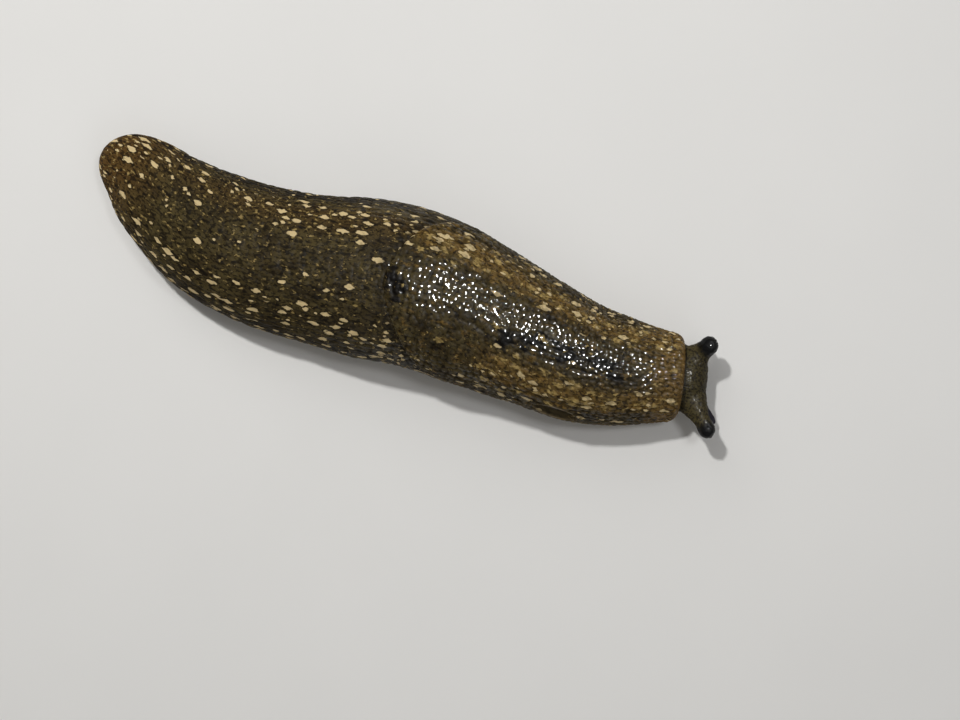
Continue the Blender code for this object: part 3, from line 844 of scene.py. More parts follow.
# Dark marks of the mantle: a round patch exp(-distance^2) at its rear border, then a broken streak
# along the middle, and a fainter shade on the right
def mantleDarkness(x, across):
    mark = mantleMarking
    along, reach, side, spreadOut = mark["patch"]
    rear = np.exp(-(((x - along) / reach) ** 2 + ((across - side) / spreadOut) ** 2))
    path = mark["streakAcross"] + rise(x, *mark["streakTurns"][0]) + rise(x, *mark["streakTurns"][1])
    streak = band(across, path, mark["streakWidth"])
    streak = streak * rise(x, *mark["streakStart"]) * rise(x, *mark["streakEnd"])
    right = band(across, *mark["rightShade"])
    right = right * rise(x, *mark["rightShadeEnd"]) * rise(x, *mark["rightShadeStart"])
    return np.maximum(np.maximum(mark["patchDepth"] * rear, streak), right)


# Marks of the mantle from 0 to 1: ochre bands on both sides, spots on bands and margins, dark
# patches, the pore, painted shade in the fold at the rear border and in the pore's slit, and how wet
# the skin is
def mantleMarks(x, across, z, angle, fromTop):
    mark = mantleMarking
    side = np.clip((angle - math.pi / 2) / (math.pi / 2), -1.0, 1.0)
    right = band(side, *mark["rightBand"]) * rise(x, *mark["rightBandStart"])
    bands = np.maximum(band(side, *mark["leftBand"]), right)
    spots = mark["spotsAnywhere"] + mark["spotsInBands"] * bands + rise(np.abs(side), *mark["margins"])
    patch = mantleDarkness(x, across)
    pore = poreDistance(x, angle)
    border = mantleSide(angle)
    edge = rise(fromTop, *mark["sideEdge"]) * rise(x, *mark["sideEdgeStart"])
    return {
        "spotZone": spots * (1.0 - mark["spotsOffPatch"] * np.minimum(patch, 1.0)),
        "darkMarkAndShadeZone": patch,
        "amberZone": np.maximum(rise(x, *mark["amberFront"]), mark["amberInBands"] * bands),
        "bandZone": bands,
        # painted shade in the fold along the rear border
        "creaseShadeZone": band(x - mantleRear(border), *mark["creaseShade"]) * (z > bodyMarking["creaseShadeLowest"]),
        "poreZone": rise(pore, *mark["pore"]),
        "poreRimZone": band(pore, *mark["poreRim"]),
        # painted shade in the pore's slit
        "poreSlitShadeZone": rise(pore, *mark["poreSlitShade"]),
        "marginZone": np.maximum(rise(mantleFront(border) - x, *mark["frontEdge"]), edge),
        "wetZone": 1.0 - rise(fromTop, *bodyMarking["flank"]),
        "reliefZone": granuleRelief(x, angle),
    }


# Marks of back, flanks, tail, head and foot from 0 to 1: spots in a row on the left and all over
# the right, amber tail, a dark band on the left flank, painted shade on the lower flanks, in the fold
# at the mantle's rear border and round the mouth, black bulbs, pale sole and fringe, and how wet the
# skin is
def bodyMarks(points, x, z, angle, fromTop):
    mark = bodyMarking
    left = angle < math.pi / 2
    head = rise(x, *mark["head"])
    tail = rise(x, *mark["tail"])
    row = band(fromTop, *mark["leftRow"])
    spotsLeft = mark["spotsAnywhere"] + mark["spotsInRow"] * row + rise(fromTop, *mark["leftEdge"])
    spotsRight = mark["spotsAnywhere"] + rise(fromTop, *mark["rightSpots"])
    spots = np.where(left, spotsLeft, spotsRight) + mark["spotsOnTail"] * tail
    spots = spots * (1.0 - rise(x, *mark["tailTip"])) * (1.0 - head) * ease(tailEnd(x) / 0.5)
    darkRow = band(fromTop, *mark["darkRow"]) * rise(x, *mark["darkRowEnd"])
    # the left flank's dark band, and painted shade below it
    leftBandAndFlankShade = np.maximum(darkRow, rise(fromTop, *mark["paintedLeftFlankShade"]))
    flank = rise(fromTop, *mark["flank"])
    bulb = np.zeros(len(x))
    for name in ("upperLeft", "upperRight"):
        reach = np.linalg.norm(points - eyePlaces[name][0], axis=1) / tentacleShape[name]["bulb"]
        bulb = np.maximum(bulb, rise(reach, *mark["bulb"]))
    tip = np.array(tentacleShape["lowerRight"]["path"][-1]) - (*bodyShape["origin"], 0.0)
    lilac = rise(np.linalg.norm(points - tip, axis=1), *mark["lilac"])
    bulb = bulb * (1.0 - lilac * rise(z, *mark["bulbFoot"]))
    wet = (mark["wetAnywhere"] + rise(x, *mark["wet"])) * (1.0 - flank) * (1.0 - head)
    wet = wet + mark["wetHead"] * head
    mouth = np.linalg.norm((points - mouthPlace()) / mouthShape["size"], axis=1)
    return {
        "spotZone": spots,
        # on the left the dark band and painted shade, on the right painted shade
        "darkMarkAndShadeZone": np.where(left, leftBandAndFlankShade, flank),
        "amberZone": np.maximum(rise(x, *mark["tailAmber"]), mark["amberInRow"] * row * left),
        "bandZone": row * left + mark["flecksOnTail"] * tail,
        "headZone": head,
        "soleZone": rise(z, *mark["sole"]),
        "fringeZone": rise(z, *mark["fringe"]) * (1.0 - rise(x, *mark["fringeFront"])),
        "bulbZone": bulb,
        "lilacZone": lilac * (1.0 - bulb),
        # painted shade in the fold at the mantle's rear border
        "creaseShadeZone": band(x - mantleRear(mantleSide(angle)), *mark["creaseShade"]) * (z > mark["creaseShadeLowest"]),
        # painted shade round the mouth
        "mouthShadeZone": rise(mouth, *mouthShape["mark"]),
        "wetZone": np.maximum(wet, mark["wetBulb"] * bulb),
        "reliefZone": tubercleRelief(x, angle),
    }


# Writes the lie of the skin and all the marks on its points
def markZones(mesh, mantleSlot):
    points, onMantle = readSurface(mesh, mantleSlot)
    x, across = alongAndAcross(points)
    z = points[:, 2]
    angle = angleOf(x, across, z)
    fromTop = np.degrees(np.abs(angle - math.pi / 2))
    onHead = rise(x, *bodyMarking["headLie"]) * rise(z, *bodyMarking["headLieUp"])
    onHead = (onHead * ~onMantle)[:, None]
    lies = skinLie(x, angle) * (1.0 - onHead) + headLie(x, across, z) * onHead
    layer = mesh.attributes.new("lie", "FLOAT_VECTOR", "POINT")
    layer.data.foreach_set("vector", lies.astype(np.float32).ravel())
    body = bodyMarks(points, x, z, angle, fromTop)
    mantle = mantleMarks(x, across, z, angle, fromTop)
    for name in {**body, **mantle}:
        values = np.where(onMantle, mantle.get(name, 0.0), body.get(name, 0.0))
        layer = mesh.attributes.new(name, "FLOAT", "POINT")
        layer.data.foreach_set("value", np.clip(values, 0.0, 1.0).astype(np.float32))


# The mouth's middle as a point in mm
def mouthPlace():
    return place(*(np.array(value) for value in mouthShape["place"]))


# Moves points along their normals: an upright slit with a crossing one and two lips for the mouth,
# and folds of value noise all over the head
def pressDetails(mesh, mantleSlot):
    mouth = mouthShape
    points, onMantle = readSurface(mesh, mantleSlot)
    normals = readArray(mesh.vertices, "normal", width=3)
    x, across = alongAndAcross(points)
    away = points - mouthPlace()
    turn = heading(np.array(mouth["heading"]))
    sideways = -away[:, 0] * np.sin(turn) + away[:, 1] * np.cos(turn)
    up = away[:, 2]
    slit = band(sideways, 0.0, mouth["slitWidth"]) * band(up, *mouth["slit"])
    cross = band(up, mouth["crossArch"] - mouth["crossArch"] * sideways**2, mouth["slitWidth"])
    cross = cross * band(sideways, 0.0, mouth["crossWidth"])
    lips = band(np.abs(sideways), *mouth["lips"]) * band(up, *mouth["lipsUp"])
    depth = (-mouth["depth"] * np.maximum(slit, cross) + lips) * (x > mouth["front"])
    folds = sum(share * valueNoise(x * u, across * v, seed) for share, u, v, seed in mouth["foldNoise"])
    folds = folds * rise(x, *mouth["folds"]) * rise(points[:, 2], 0.5, 0.5)
    points = points + normals * ((depth + folds) * ~onMantle)[:, None]
    mesh.vertices.foreach_set("co", (points * mm).ravel())
    mesh.update()


# The node tree that is being made: each new group or material puts its own here
making = {"tree": None}


# Adds a node, sets its properties, and fills its inputs with values or links
def knot(kind, inputs=None, **settings):
    tree = making["tree"]
    node = tree.nodes.new(kind)
    for name, value in settings.items():
        setattr(node, name, value)
    for name, value in (inputs or {}).items():
        if isinstance(value, bpy.types.NodeSocket):
            tree.links.new(value, node.inputs[name])
        else:
            node.inputs[name].default_value = value
    return node


# Result of one sum of up to three values
def maths(operation, a, b=0.0, c=0.0):
    return knot("ShaderNodeMath", {0: a, 1: b, 2: c}, operation=operation).outputs[0]


# a * b
def times(a, b):
    return maths("MULTIPLY", a, b)


# 1 - a
def inverse(a):
    return maths("SUBTRACT", 1.0, a)


# 0 below low, 1 above high, smooth between
def step(value, low, high):
    inputs = {"Value": value, "From Min": low, "From Max": high}
    return knot("ShaderNodeMapRange", inputs, interpolation_type="SMOOTHSTEP").outputs[0]


# The first colour where an amount is 0, the second where it is 1
def mixColours(amount, first, second):
    inputs = {0: amount}
    for number, value in ((6, first), (7, second)):
        inputs[number] = value if isinstance(value, bpy.types.NodeSocket) else (*value, 1.0)
    return knot("ShaderNodeMix", inputs, data_type="RGBA").outputs[2]


# Noise over a place, from 0 to 1
def noise(place, scale, detail=2.0):
    inputs = {"Vector": place, "Scale": scale, "Detail": detail}
    return knot("ShaderNodeTexNoise", inputs).outputs[0]


# Places on the piece itself
def objectPlace():
    return knot("ShaderNodeTexCoord").outputs["Object"]


# A node group whose inputs are numbers, or vectors where no value is given, and whose outputs are
# numbers
def newGroup(name, inputs, outputs):
    tree = making["tree"] = bpy.data.node_groups.new(name, "ShaderNodeTree")
    for label, value in inputs.items():
        kind = "NodeSocketVector" if value is None else "NodeSocketFloat"
        socket = tree.interface.new_socket(label, in_out="INPUT", socket_type=kind)
        if value is not None:
            socket.default_value = value
    for label in outputs:
        tree.interface.new_socket(label, in_out="OUTPUT", socket_type="NodeSocketFloat")
    return tree, tree.nodes.new("NodeGroupInput").outputs, tree.nodes.new("NodeGroupOutput").inputs


# Links values to the inputs of a node, or to the results of a group
def join(inputs, values):
    for name, value in values.items():
        making["tree"].links.new(value, inputs[name])


# Stretches the lie of the skin: x over length, y over width
def stretched(source, length, width):
    parts = knot("ShaderNodeSeparateXYZ", {0: source})
    u = maths("DIVIDE", parts.outputs[0], length)
    v = maths("DIVIDE", parts.outputs[1], width)
    return knot("ShaderNodeCombineXYZ", {0: u, 1: v}).outputs[0]


# Form of all spots, in cells of their grid, and how far the pattern is moved for each size of spot
spotForm = {
    "raggedScale": 3.2, "randomness": 0.8, "roundness": 1.35, "sizes": (0.5, 0.62), "outline": (0.02, 0.16),
    "ragged": 0.30, "softness": 0.035, "shift": 40.0,
}


# Scattered long spots with a dark outline: the cells of a ragged grid, some of them filled up to a
# radius, each with a number of its own that says whether it is filled and how large
def makeSpotGroup():
    tree, given, result = newGroup("scatteredSpots", {
        "Lie": None, "Length": 2.0, "Width": 1.0, "Shift": 0.0, "Density": 0.5, "Size": 0.25,
        "Ragged": 0.3, "Softness": 0.04,
    }, ("Spot", "Outline"))

    def vector(operation, inputs):
        return knot("ShaderNodeVectorMath", inputs, operation=operation).outputs[0]

    flow = stretched(given["Lie"], given["Length"], given["Width"])
    ragged = knot("ShaderNodeTexNoise", {
        "Vector": flow, "Scale": spotForm["raggedScale"], "Detail": 2.0,
    }, noise_dimensions="2D")
    shift = vector("SUBTRACT", {0: ragged.outputs["Color"], 1: (0.5, 0.5, 0.5)})
    moved = vector("ADD", {0: flow, 1: vector("SCALE", {0: shift, 3: given["Ragged"]})})
    away = knot("ShaderNodeCombineXYZ", {0: given["Shift"], 1: times(given["Shift"], 0.7)})
    moved = vector("ADD", {0: moved, 1: away.outputs[0]})
    cells = knot("ShaderNodeTexVoronoi", {
        "Vector": moved, "Scale": 1.0, "Randomness": spotForm["randomness"],
        "Exponent": spotForm["roundness"],
    }, voronoi_dimensions="2D", distance="MINKOWSKI")
    chance = knot("ShaderNodeSeparateColor", {0: cells.outputs["Color"]}).outputs
    filled = maths("LESS_THAN", chance[0], given["Density"])
    radius = times(given["Size"], maths("MULTIPLY_ADD", chance[1], *spotForm["sizes"]))
    near = maths("SUBTRACT", cells.outputs["Distance"], radius)
    soft = given["Softness"]
    spot = times(inverse(step(near, times(soft, -1.0), soft)), filled)
    wide = inverse(step(near, *spotForm["outline"]))
    outline = times(maths("SUBTRACT", wide, spot), filled)
    join(result, {"Spot": spot, "Outline": maths("MAXIMUM", outline, 0.0)})
    return tree


# Streaks or blotches: noise stretched along the lie and cut at a level
def makeMottleGroup():
    tree, given, result = newGroup("mottle", {
        "Lie": None, "Length": 1.0, "Width": 0.5, "Level": 0.5, "Softness": 0.08, "Seed": 0.0,
    }, ("Mask",))
    cloud = knot("ShaderNodeTexNoise", {
        "Vector": stretched(given["Lie"], given["Length"], given["Width"]), "W": given["Seed"],
        "Scale": 1.0, "Detail": 3.0, "Roughness": 0.55,
    }, noise_dimensions="4D").outputs[0]
    low = maths("SUBTRACT", given["Level"], given["Softness"])
    high = maths("ADD", given["Level"], given["Softness"])
    join(result, {"Mask": step(cloud, low, high)})
    return tree


# Film of slime: folds and pools per metre, what they add to height and roughness, the levels of
# the pools' noise over which it gathers, and its greatest weight
filmForm = {
    "folds": 7000.0, "foldHeight": 0.12, "pools": 500.0, "poolRoughness": 0.25, "poolLevels": (0.22, 0.45),
    "weight": 0.75, "grainSoftness": 0.25,
}


# Wet skin: domes of 1 - distance^2 with folds between them, and a film that lies unevenly on them
def makeFilmGroup():
    tree, given, result = newGroup("wetFilm", {
        "Lie": None, "Place": None, "Grain": 0.6, "Film": 0.3, "Wetness": 0.5, "Tops": 1.0,
    }, ("Height", "Roughness", "Coat"))
    cells = knot("ShaderNodeTexVoronoi", {
        "Vector": stretched(given["Lie"], given["Grain"], given["Grain"]), "Scale": 1.0,
        "Smoothness": filmForm["grainSoftness"],
    }, voronoi_dimensions="2D", feature="SMOOTH_F1")
    dome = inverse(maths("POWER", cells.outputs["Distance"], 2.0))
    folds = noise(given["Place"], filmForm["folds"])
    pools = noise(given["Place"], filmForm["pools"])
    coat = times(given["Wetness"], step(pools, *filmForm["poolLevels"]))
    join(result, {
        "Height": maths("MULTIPLY_ADD", folds, filmForm["foldHeight"], dome),
        "Roughness": maths("MULTIPLY_ADD", pools, filmForm["poolRoughness"], given["Film"]),
        "Coat": times(times(coat, given["Tops"]), filmForm["weight"]),
    })
    return tree


spotGroup = makeSpotGroup()
mottleGroup = makeMottleGroup()
filmGroup = makeFilmGroup()

# Colours of the living skin, linear
skinColours = {
    "ground": (0.074, 0.055, 0.020),
    "groundDark": (0.030, 0.021, 0.0085),
    # streak: the dark of streaks and specks, also laid as painted shade in hollows, folds, the pore's slit
    # and on the lower flanks
    "streak": (0.0065, 0.0045, 0.0025),
    "cream": (0.62, 0.48, 0.25),
    "gold": (0.38, 0.27, 0.095),
    "tail": (0.104, 0.054, 0.0135),
    "head": (0.068, 0.054, 0.022),
    # headDark: the head's freckles, also laid as painted shade round the mouth
    "headDark": (0.024, 0.019, 0.0105),
    "lilac": (0.040, 0.034, 0.050),
    "bulb": (0.004, 0.004, 0.0045),
    "sole": (0.40, 0.32, 0.18),
    "fringe": (0.15, 0.105, 0.045),
    "ochre": (0.185, 0.110, 0.028),
    "ochreLight": (0.52, 0.37, 0.13),
    "mantleDark": (0.0035, 0.0025, 0.002),
    "margin": (0.21, 0.125, 0.038),
    "poreInside": (0.075, 0.056, 0.024),
    "poreRim": (0.24, 0.18, 0.095),
}

# Streaks, flecks and blotches: length and width in mm, level where the noise is cut, what a zone
# adds to the level, softness, seed, strength and colour
bodyMottles = {
    "broad": (3.5, 1.6, 0.48, 0.0, 0.18, 1.0, 1.0, "ground"),
    # shade: dark streaks, gathering on the left flank's band and, as painted shade, on the lower flanks
    "shade": (3.2, 0.8, 0.78, -0.34, 0.10, 9.0, 0.85, "streak"),
    "streaks": (0.95, 0.45, 0.57, 0.0, 0.045, 4.0, 0.80, "streak"),
    "specks": (0.42, 0.26, 0.53, 0.0, 0.045, 5.0, 0.72, "streak"),
    "flecks": (0.60, 0.36, 0.624, -0.028, 0.035, 12.0, 0.75, "gold"),
}

mantleMottles = {
    "broad": (3.2, 2.0, 0.46, 0.0, 0.16, 2.0, 1.0, "ground"),
    "ochre": (1.3, 0.7, 0.63, -0.16, 0.10, 5.0, 1.0, "ochre"),
    "specks": (0.8, 0.6, 0.60, 0.0, 0.04, 3.0, 0.82, "streak"),
    "fineSpecks": (0.36, 0.28, 0.55, 0.0, 0.04, 8.0, 0.66, "streak"),
    "blotches": (1.9, 1.0, 0.87, -0.44, 0.07, 6.0, 0.99, "mantleDark"),
    "flecks": (0.62, 0.44, 0.655, -0.045, 0.04, 14.0, 0.82, "ochreLight"),
}

# Cream spots: share of the cells filled where the zone is 1, length and width of the cells in mm,
# the spots' radius in cells, and the strength of their dark outline
bodySpots = ((0.26, 1.2, 0.72, 0.22, 0.6), (0.84, 2.15, 1.10, 0.245, 0.75))
mantleSpots = ((0.34, 1.25, 0.72, 0.22, 0.4), (0.80, 2.3, 1.25, 0.24, 0.5))

skinFinish = {
    "IOR": 1.38,
    "Specular IOR Level": 0.07,
    "Subsurface Weight": 0.05,
    "Subsurface Radius": (1.0, 0.5, 0.25),
    "Subsurface Scale": 0.0005,
    "Coat Roughness": 0.06,
    "Coat IOR": 1.40,
}

# Grain in mm, height in metres and dryness of the film, and the relief above which it lies
bodyFilm = {"grain": 0.40, "height": 0.00006, "dry": 0.42, "tops": (0.45, 0.8)}
mantleFilm = {"grain": 0.45, "height": 0.00005, "dry": 0.38, "tops": (0.42, 0.68)}

# Painted shade in the hollows between tubercles and granules: where the relief is below these
# levels, and how dark
bodyGrooveShade = {"levels": (0.25, 0.6), "strength": 0.40}
mantleGrooveShade = {"levels": (0.15, 0.5), "strength": 0.36}

headFreckles = {"scale": 4400.0, "levels": (0.46, 0.60)}
fringeLines = {"perMm": 10.2, "wander": 9.0, "wanderScale": 0.8, "strength": 0.5, "cover": 0.85}

# Light patches of the ochre bands: their form, and the share of cells filled, inside more than outside
lightPatches = {
    "form": {"Length": 1.5, "Width": 0.9, "Size": 0.30, "Ragged": 0.9, "Softness": 0.16},
    "density": (0.62, 0.04),
    "strength": 0.65,
}


# Results of a group that is placed in a material
def placed(group, inputs):
    return knot("ShaderNodeGroup", inputs, node_tree=group).outputs


# One of the marks on the skin's points
def zone(name):
    return knot("ShaderNodeAttribute", attribute_name=name).outputs["Fac"]


# A material with fixed values on its shader
def newMaterial(name, finish):
    material = bpy.data.materials.new(name)
    material.use_nodes = True
    making["tree"] = material.node_tree
    shader = material.node_tree.nodes["Principled BSDF"]
    for label, value in finish.items():
        shader.inputs[label].default_value = value
    return material, shader


# Lays one of the skin's colours over what is there, where a mask is 1
def lay(colour, mask, strength, name):
    return mixColours(times(mask, strength), colour, skinColours[name])


# Lays zones one after the other: name, strength and colour of each
def layZones(colour, *zones):
    for name, strength, finish in zones:
        colour = lay(colour, zone(name), strength, finish)
    return colour


# Lays streaks or blotches; a zone moves their level, and they keep within another
def layMottle(colour, lie, mottle, zoneValue=None, within=None):
    length, width, level, pull, softness, seed, strength, name = mottle
    if zoneValue is not None:
        level = maths("MULTIPLY_ADD", zoneValue, pull, level)
    if within is not None:
        strength = times(within, strength)
    mask = placed(mottleGroup, {
        "Lie": lie, "Length": length, "Width": width, "Level": level, "Softness": softness, "Seed": seed,
    })["Mask"]
    return lay(colour, mask, strength, name)


# Lays cream spots of several sizes, with a dark line round each
def laySpots(colour, lie, sizes):
    for share, length, width, size, edge in sizes:
        spots = placed(spotGroup, {
            "Lie": lie, "Length": length, "Width": width, "Shift": spotForm["shift"] * length,
            "Density": times(zone("spotZone"), share), "Size": size, "Ragged": spotForm["ragged"],
            "Softness": spotForm["softness"],
        })
        colour = lay(colour, spots["Outline"], edge, "streak")
        colour = mixColours(spots["Spot"], colour, skinColours["cream"])
    return colour


# Puts colour, gloss and fine relief on a skin
def finishSkin(shader, lie, colour, film, tops):
    out = placed(filmGroup, {
        "Lie": lie, "Place": objectPlace(), "Grain": film["grain"], "Film": film["dry"],
        "Wetness": zone("wetZone"), "Tops": tops,
    })
    bump = knot("ShaderNodeBump", {
        "Height": out["Height"], "Strength": 1.0, "Distance": film["height"],
    }).outputs[0]
    join(shader.inputs, {
        "Base Color": colour, "Normal": bump, "Roughness": out["Roughness"], "Coat Weight": out["Coat"],
    })


# Colour of head and tentacles: freckles, a lilac tip and black bulbs
def headColour():
    freckles = step(noise(objectPlace(), headFreckles["scale"]), *headFreckles["levels"])
    colour = mixColours(freckles, skinColours["head"], skinColours["headDark"])
    return layZones(colour, ("lilacZone", 1.0, "lilac"), ("bulbZone", 1.0, "bulb"))


# Colour of the foot's fringe: fine dark lines, sin(perMm * x + wander * noise), broken by the noise
def fringeColour(lie):
    given = fringeLines
    cloud = noise(lie, given["wanderScale"])
    along = knot("ShaderNodeSeparateXYZ", {0: lie}).outputs[0]
    wander = times(cloud, given["wander"])
    lines = maths("SINE", maths("MULTIPLY_ADD", along, given["perMm"], wander))
    lines = times(step(lines, 0.0, 0.9), step(cloud, 0.3, 0.6))
    lines = times(lines, given["strength"])
    return mixColours(lines, skinColours["fringe"], skinColours["streak"])


# Back, flanks, tail, head, tentacles and foot
def makeBodySkin():
    material, shader = newMaterial("bodySkin", skinFinish)
    lie = knot("ShaderNodeAttribute", attribute_name="lie").outputs["Vector"]
    relief = zone("reliefZone")
    head = zone("headZone")
    notHead = inverse(head)
    mottles = bodyMottles
    colour = layMottle(skinColours["groundDark"], lie, mottles["broad"])
    colour = layZones(colour, ("amberZone", 0.85, "tail"))
    # dark streaks gather on the left flank's band and, as painted shade, on the lower flanks
    colour = layMottle(colour, lie, mottles["shade"], zone("darkMarkAndShadeZone"))
    for name in ("streaks", "specks"):
        colour = layMottle(colour, lie, mottles[name])
    colour = layMottle(colour, lie, mottles["flecks"], zone("bandZone"), notHead)
    colour = laySpots(colour, lie, bodySpots)
    colour = mixColours(head, colour, headColour())
    # painted shade in the fold at the mantle's rear border
    colour = layZones(colour, ("creaseShadeZone", 0.5, "streak"))
    colour = mixColours(times(zone("fringeZone"), fringeLines["cover"]), colour, fringeColour(lie))
    # pale sole, and painted shade round the mouth
    colour = layZones(colour, ("soleZone", 1.0, "sole"), ("mouthShadeZone", 0.6, "headDark"))
    # painted shade in the hollows between the tubercles
    grooves = times(inverse(step(relief, *bodyGrooveShade["levels"])), notHead)
    colour = lay(colour, grooves, bodyGrooveShade["strength"], "streak")
    tops = maths("MAXIMUM", step(relief, *bodyFilm["tops"]), head)
    finishSkin(shader, lie, colour, bodyFilm, tops)
    return material


# The mantle: ochre bands with light patches, dark blotches, cream spots, margin and pore
def makeMantleSkin():
    material, shader = newMaterial("mantleSkin", skinFinish)
    lie = knot("ShaderNodeAttribute", attribute_name="lie").outputs["Vector"]
    relief = zone("reliefZone")
    bands = zone("bandZone")
    mottles = mantleMottles
    colour = layMottle(skinColours["groundDark"], lie, mottles["broad"])
    colour = layZones(colour, ("amberZone", 0.55, "ochre"))
    colour = layMottle(colour, lie, mottles["ochre"], zone("amberZone"))
    for name in ("specks", "fineSpecks"):
        colour = layMottle(colour, lie, mottles[name])
    colour = layMottle(colour, lie, mottles["blotches"], zone("darkMarkAndShadeZone"))
    density = maths("MULTIPLY_ADD", bands, *lightPatches["density"])
    patches = placed(spotGroup, {"Lie": lie, "Density": density, **lightPatches["form"]})
    colour = lay(colour, patches["Spot"], lightPatches["strength"], "ochreLight")
    colour = layMottle(colour, lie, mottles["flecks"], bands)
    colour = laySpots(colour, lie, mantleSpots)
    colour = layZones(
        # painted shade in the fold at the rear border, and the amber margin
        colour, ("creaseShadeZone", 0.30, "streak"), ("marginZone", 0.7, "margin"),
        # the pore's rim and inside, and painted shade in its slit
        ("poreRimZone", 0.85, "poreRim"), ("poreZone", 1.0, "poreInside"), ("poreSlitShadeZone", 0.75, "streak"),
    )
    # painted shade in the hollows between the granules
    grooves = inverse(step(relief, *mantleGrooveShade["levels"]))
    colour = lay(colour, grooves, mantleGrooveShade["strength"], "streak")
    finishSkin(shader, lie, colour, mantleFilm, step(relief, *mantleFilm["tops"]))
    return material


eyeShape = {
    "seat": 0.69,  # how far in front of the bulb's middle, in radii of the bulb
    "bulge": 0.10,
    "rings": 30,
    "around": 40,
    "colours": ((0.003, 0.003, 0.004), (0.014, 0.010, 0.008)),
    "cloud": 2500.0,
    "finish": {"Roughness": 0.07, "Coat Weight": 1.0, "Coat Roughness": 0.03},
}


# Black, wet eye with a slight brown cloud
def makeEyeFinish():
    material, shader = newMaterial("eyeBlack", eyeShape["finish"])
    cloud = noise(objectPlace(), eyeShape["cloud"])
    join(shader.inputs, {"Base Color": mixColours(cloud, *eyeShape["colours"])})
    return material


# Eye: a round bead, sin and cos of the turn along and across, with a clear front raised by
# bulge * sin^3, set in the end of its bulb
def buildEye(name, shape, centre, along):
    turn = np.radians(np.linspace(-88.0, 88.0, eyeShape["rings"]))
    middle = centre + along * (shape["bulb"] * eyeShape["seat"])
    ahead = np.sin(turn) + eyeShape["bulge"] * np.maximum(np.sin(turn), 0.0) ** 3
    ring = spokes(along[None], eyeShape["around"])
    bead = ahead[:, None, None] * along + np.cos(turn)[:, None, None] * ring
    return ringSurface(name, middle + shape["eye"] * bead)


bodySkin = makeBodySkin()
mantleSkin = makeMantleSkin()
eyeFinish = makeEyeFinish()

trunk = buildTrunk()
print("trunk surface:", len(trunk.data.vertices), "points")
mantle = buildMantle()
print("mantle surface:", len(mantle.data.vertices), "points")
head, eyePlaces = buildHead()
print("head surface:", len(head.data.vertices), "points")

for piece in (trunk, mantle, head):
    piece.data.materials.append(bodySkin)
    piece.data.materials.append(mantleSkin)
mantle.data.polygons.foreach_set("material_index", np.ones(len(mantle.data.polygons), np.int32))
unite(trunk, [head, mantle])
skin = trunk
skin.name = "skin"
skin.data.name = "skin"
print("skin:", len(skin.data.polygons), "faces")

# The seam between trunk and head is smoothed under the mantle's front, but not on the sole
seam = {"middle": 27.8, "halfWidth": 1.3, "strength": 0.6, "rounds": 10, "aboveSole": 0.02}
skinPoints, onMantle = readSurface(skin.data, 1)
joinX, _ = alongAndAcross(skinPoints)
weight = seam["strength"] * band(joinX, seam["middle"], seam["halfWidth"]) * ~onMantle
relax(skin.data, weight * (skinPoints[:, 2] > seam["aboveSole"]), seam["rounds"])
pressDetails(skin.data, 1)
markZones(skin.data, 1)
skin.data.shade_smooth()
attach(skin, "root")
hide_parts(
    "mantle", "neck", "head", "trunk_front", "trunk_middle", "trunk_rear", "tail",
    "foot_front", "foot_middle", "foot_rear", "tentacle_upper_left", "tentacle_upper_right",
    "tentacle_lower_left", "tentacle_lower_right",
)
print("skin marked")

for label, name, node in (("eyeLeft", "upperLeft", "eye_left"), ("eyeRight", "upperRight", "eye_right")):
    eye = buildEye(label, tentacleShape[name], *eyePlaces[name])
    eye.data.materials.append(eyeFinish)
    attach(eye, "root")
    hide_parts(node)
print("eyes set")

# Floor, light and camera
studio = {
    "floorColour": (0.80, 0.79, 0.765),
    "floorShade": 0.95,
    "floorSize": 2.0,
    "floorRoughness": 0.75,
    "floorCloud": (60.0, 4.0),
    "worldColour": (0.86, 0.84, 0.81),
    "worldStrength": 0.20,
}

view = {
    "picture": (960, 720),
    "bodyOrigin": (400.0, 282.0),  # where the picture shows the start of the body's own measures
    "pixelsPerMm": 10.0,
    "roll": math.radians(20.0),
    "level": 3.0,  # height in mm at which that scale holds: the widest part of the body
    "lens": 60.0,
    "sensor": 36.0,
    "clip": (0.005, 10.0),
}


# A plain pale square with a faint cloud
def buildFloor():
    half = studio["floorSize"] / 2
    points = np.array([(-half, -half, 0), (half, -half, 0), (half, half, 0), (-half, half, 0)]) / mm
    floor = newMesh("floor", points, [(0, 1, 2, 3)], smooth=False)
    material, shader = newMaterial("paleFloor", {"Roughness": studio["floorRoughness"]})
    light = studio["floorColour"]
    darker = tuple(value * studio["floorShade"] for value in light)
    cloud = noise(objectPlace(), *studio["floorCloud"])
    join(shader.inputs, {"Base Color": mixColours(cloud, darker, light)})
    floor.data.materials.append(material)


# Place at a distance, tilted from straight above and turned to the left of +X
def placeAbove(distance, tilt, turn):
    across = distance * math.sin(tilt)
    return across * math.cos(turn), across * math.sin(turn), distance * math.cos(tilt)


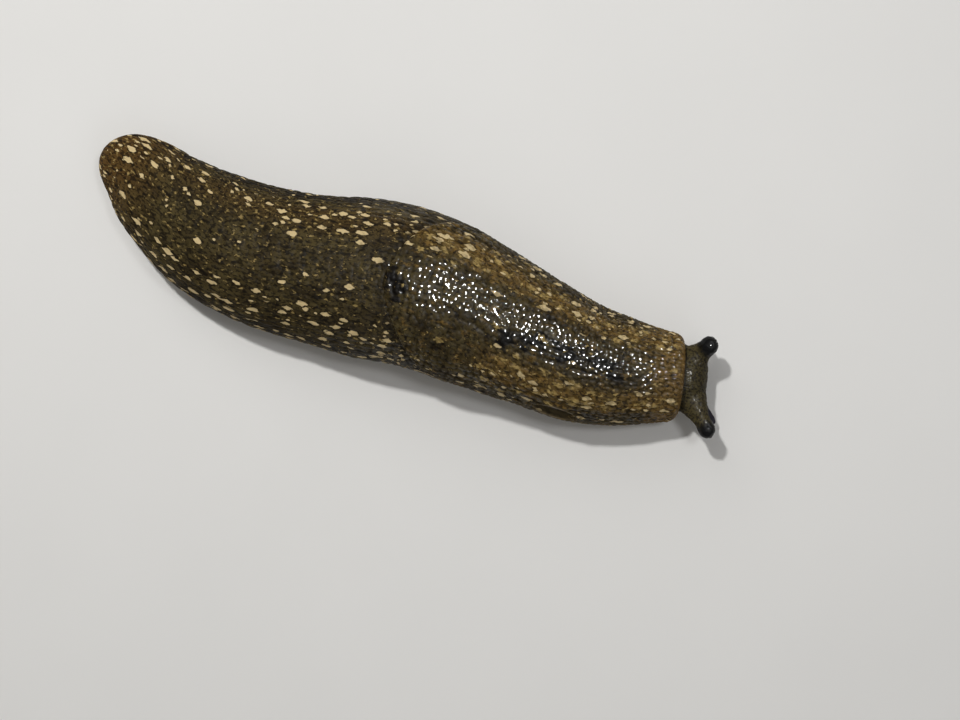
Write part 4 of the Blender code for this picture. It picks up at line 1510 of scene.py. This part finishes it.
# Round lamps: diameter in metres, power, place and target
lamps = {
    "key": (0.02, 0.52, placeAbove(0.30, math.radians(31.0), math.radians(141.0)), (0.0, 0.0, 0.004)),
    "softLeft": (0.40, 0.68, (-0.42, 0.34, 0.36), (0.0, 0.0, 0.004)),
    "softRight": (0.40, 0.34, (0.42, -0.36, 0.34), (0.0, 0.0, 0.004)),
    "glint": (0.062, 3.4, (0.089, 0.072, 0.30), (0.014, 0.0, 0.009)),
}


# A faint light from all round, and the lamps: the glint is only mirrored, and the others aren't
def buildLights():
    world = bpy.data.worlds.new("studio")
    world.use_nodes = True
    background = world.node_tree.nodes["Background"]
    background.inputs[0].default_value = (*studio["worldColour"], 1.0)
    background.inputs[1].default_value = studio["worldStrength"]
    bpy.context.scene.world = world
    for name, (size, power, position, target) in lamps.items():
        lamp = bpy.data.objects.new(name, bpy.data.lights.new(name, "AREA"))
        lamp.data.shape = "DISK"
        lamp.data.size = size
        lamp.data.energy = power
        bpy.context.scene.collection.objects.link(lamp)
        lamp.location = position
        aim = np.array(target) - np.array(position)
        aim /= np.linalg.norm(aim)
        lamp.rotation_euler = (math.acos(-aim[2]), 0.0, math.atan2(-aim[0], aim[1]))
        lamp.visible_glossy = name == "glint"
        lamp.visible_diffuse = name != "glint"


# Straight down, turned so that the body lies across the picture as in the photograph
def buildCamera():
    roll, scale = view["roll"], view["pixelsPerMm"]
    dx = (view["picture"][0] / 2 - view["bodyOrigin"][0]) / scale
    dy = (view["picture"][1] / 2 - view["bodyOrigin"][1]) / scale
    u = dx * math.cos(roll) + dy * math.sin(roll) - bodyShape["origin"][0]
    v = dx * math.sin(roll) - dy * math.cos(roll) - bodyShape["origin"][1]
    distance = view["picture"][0] / scale * view["lens"] / view["sensor"]
    camera = bpy.data.objects.new("camera", bpy.data.cameras.new("camera"))
    camera.data.lens = view["lens"]
    camera.data.sensor_width = view["sensor"]
    camera.data.clip_start, camera.data.clip_end = view["clip"]
    camera.location = (u * mm, v * mm, (distance + view["level"]) * mm)
    camera.rotation_euler = (0.0, 0.0, roll)
    bpy.context.scene.collection.objects.link(camera)
    bpy.context.scene.camera = camera


buildFloor()
buildLights()
buildCamera()
bpy.context.scene.view_settings.view_transform = "Standard"
print("studio ready")
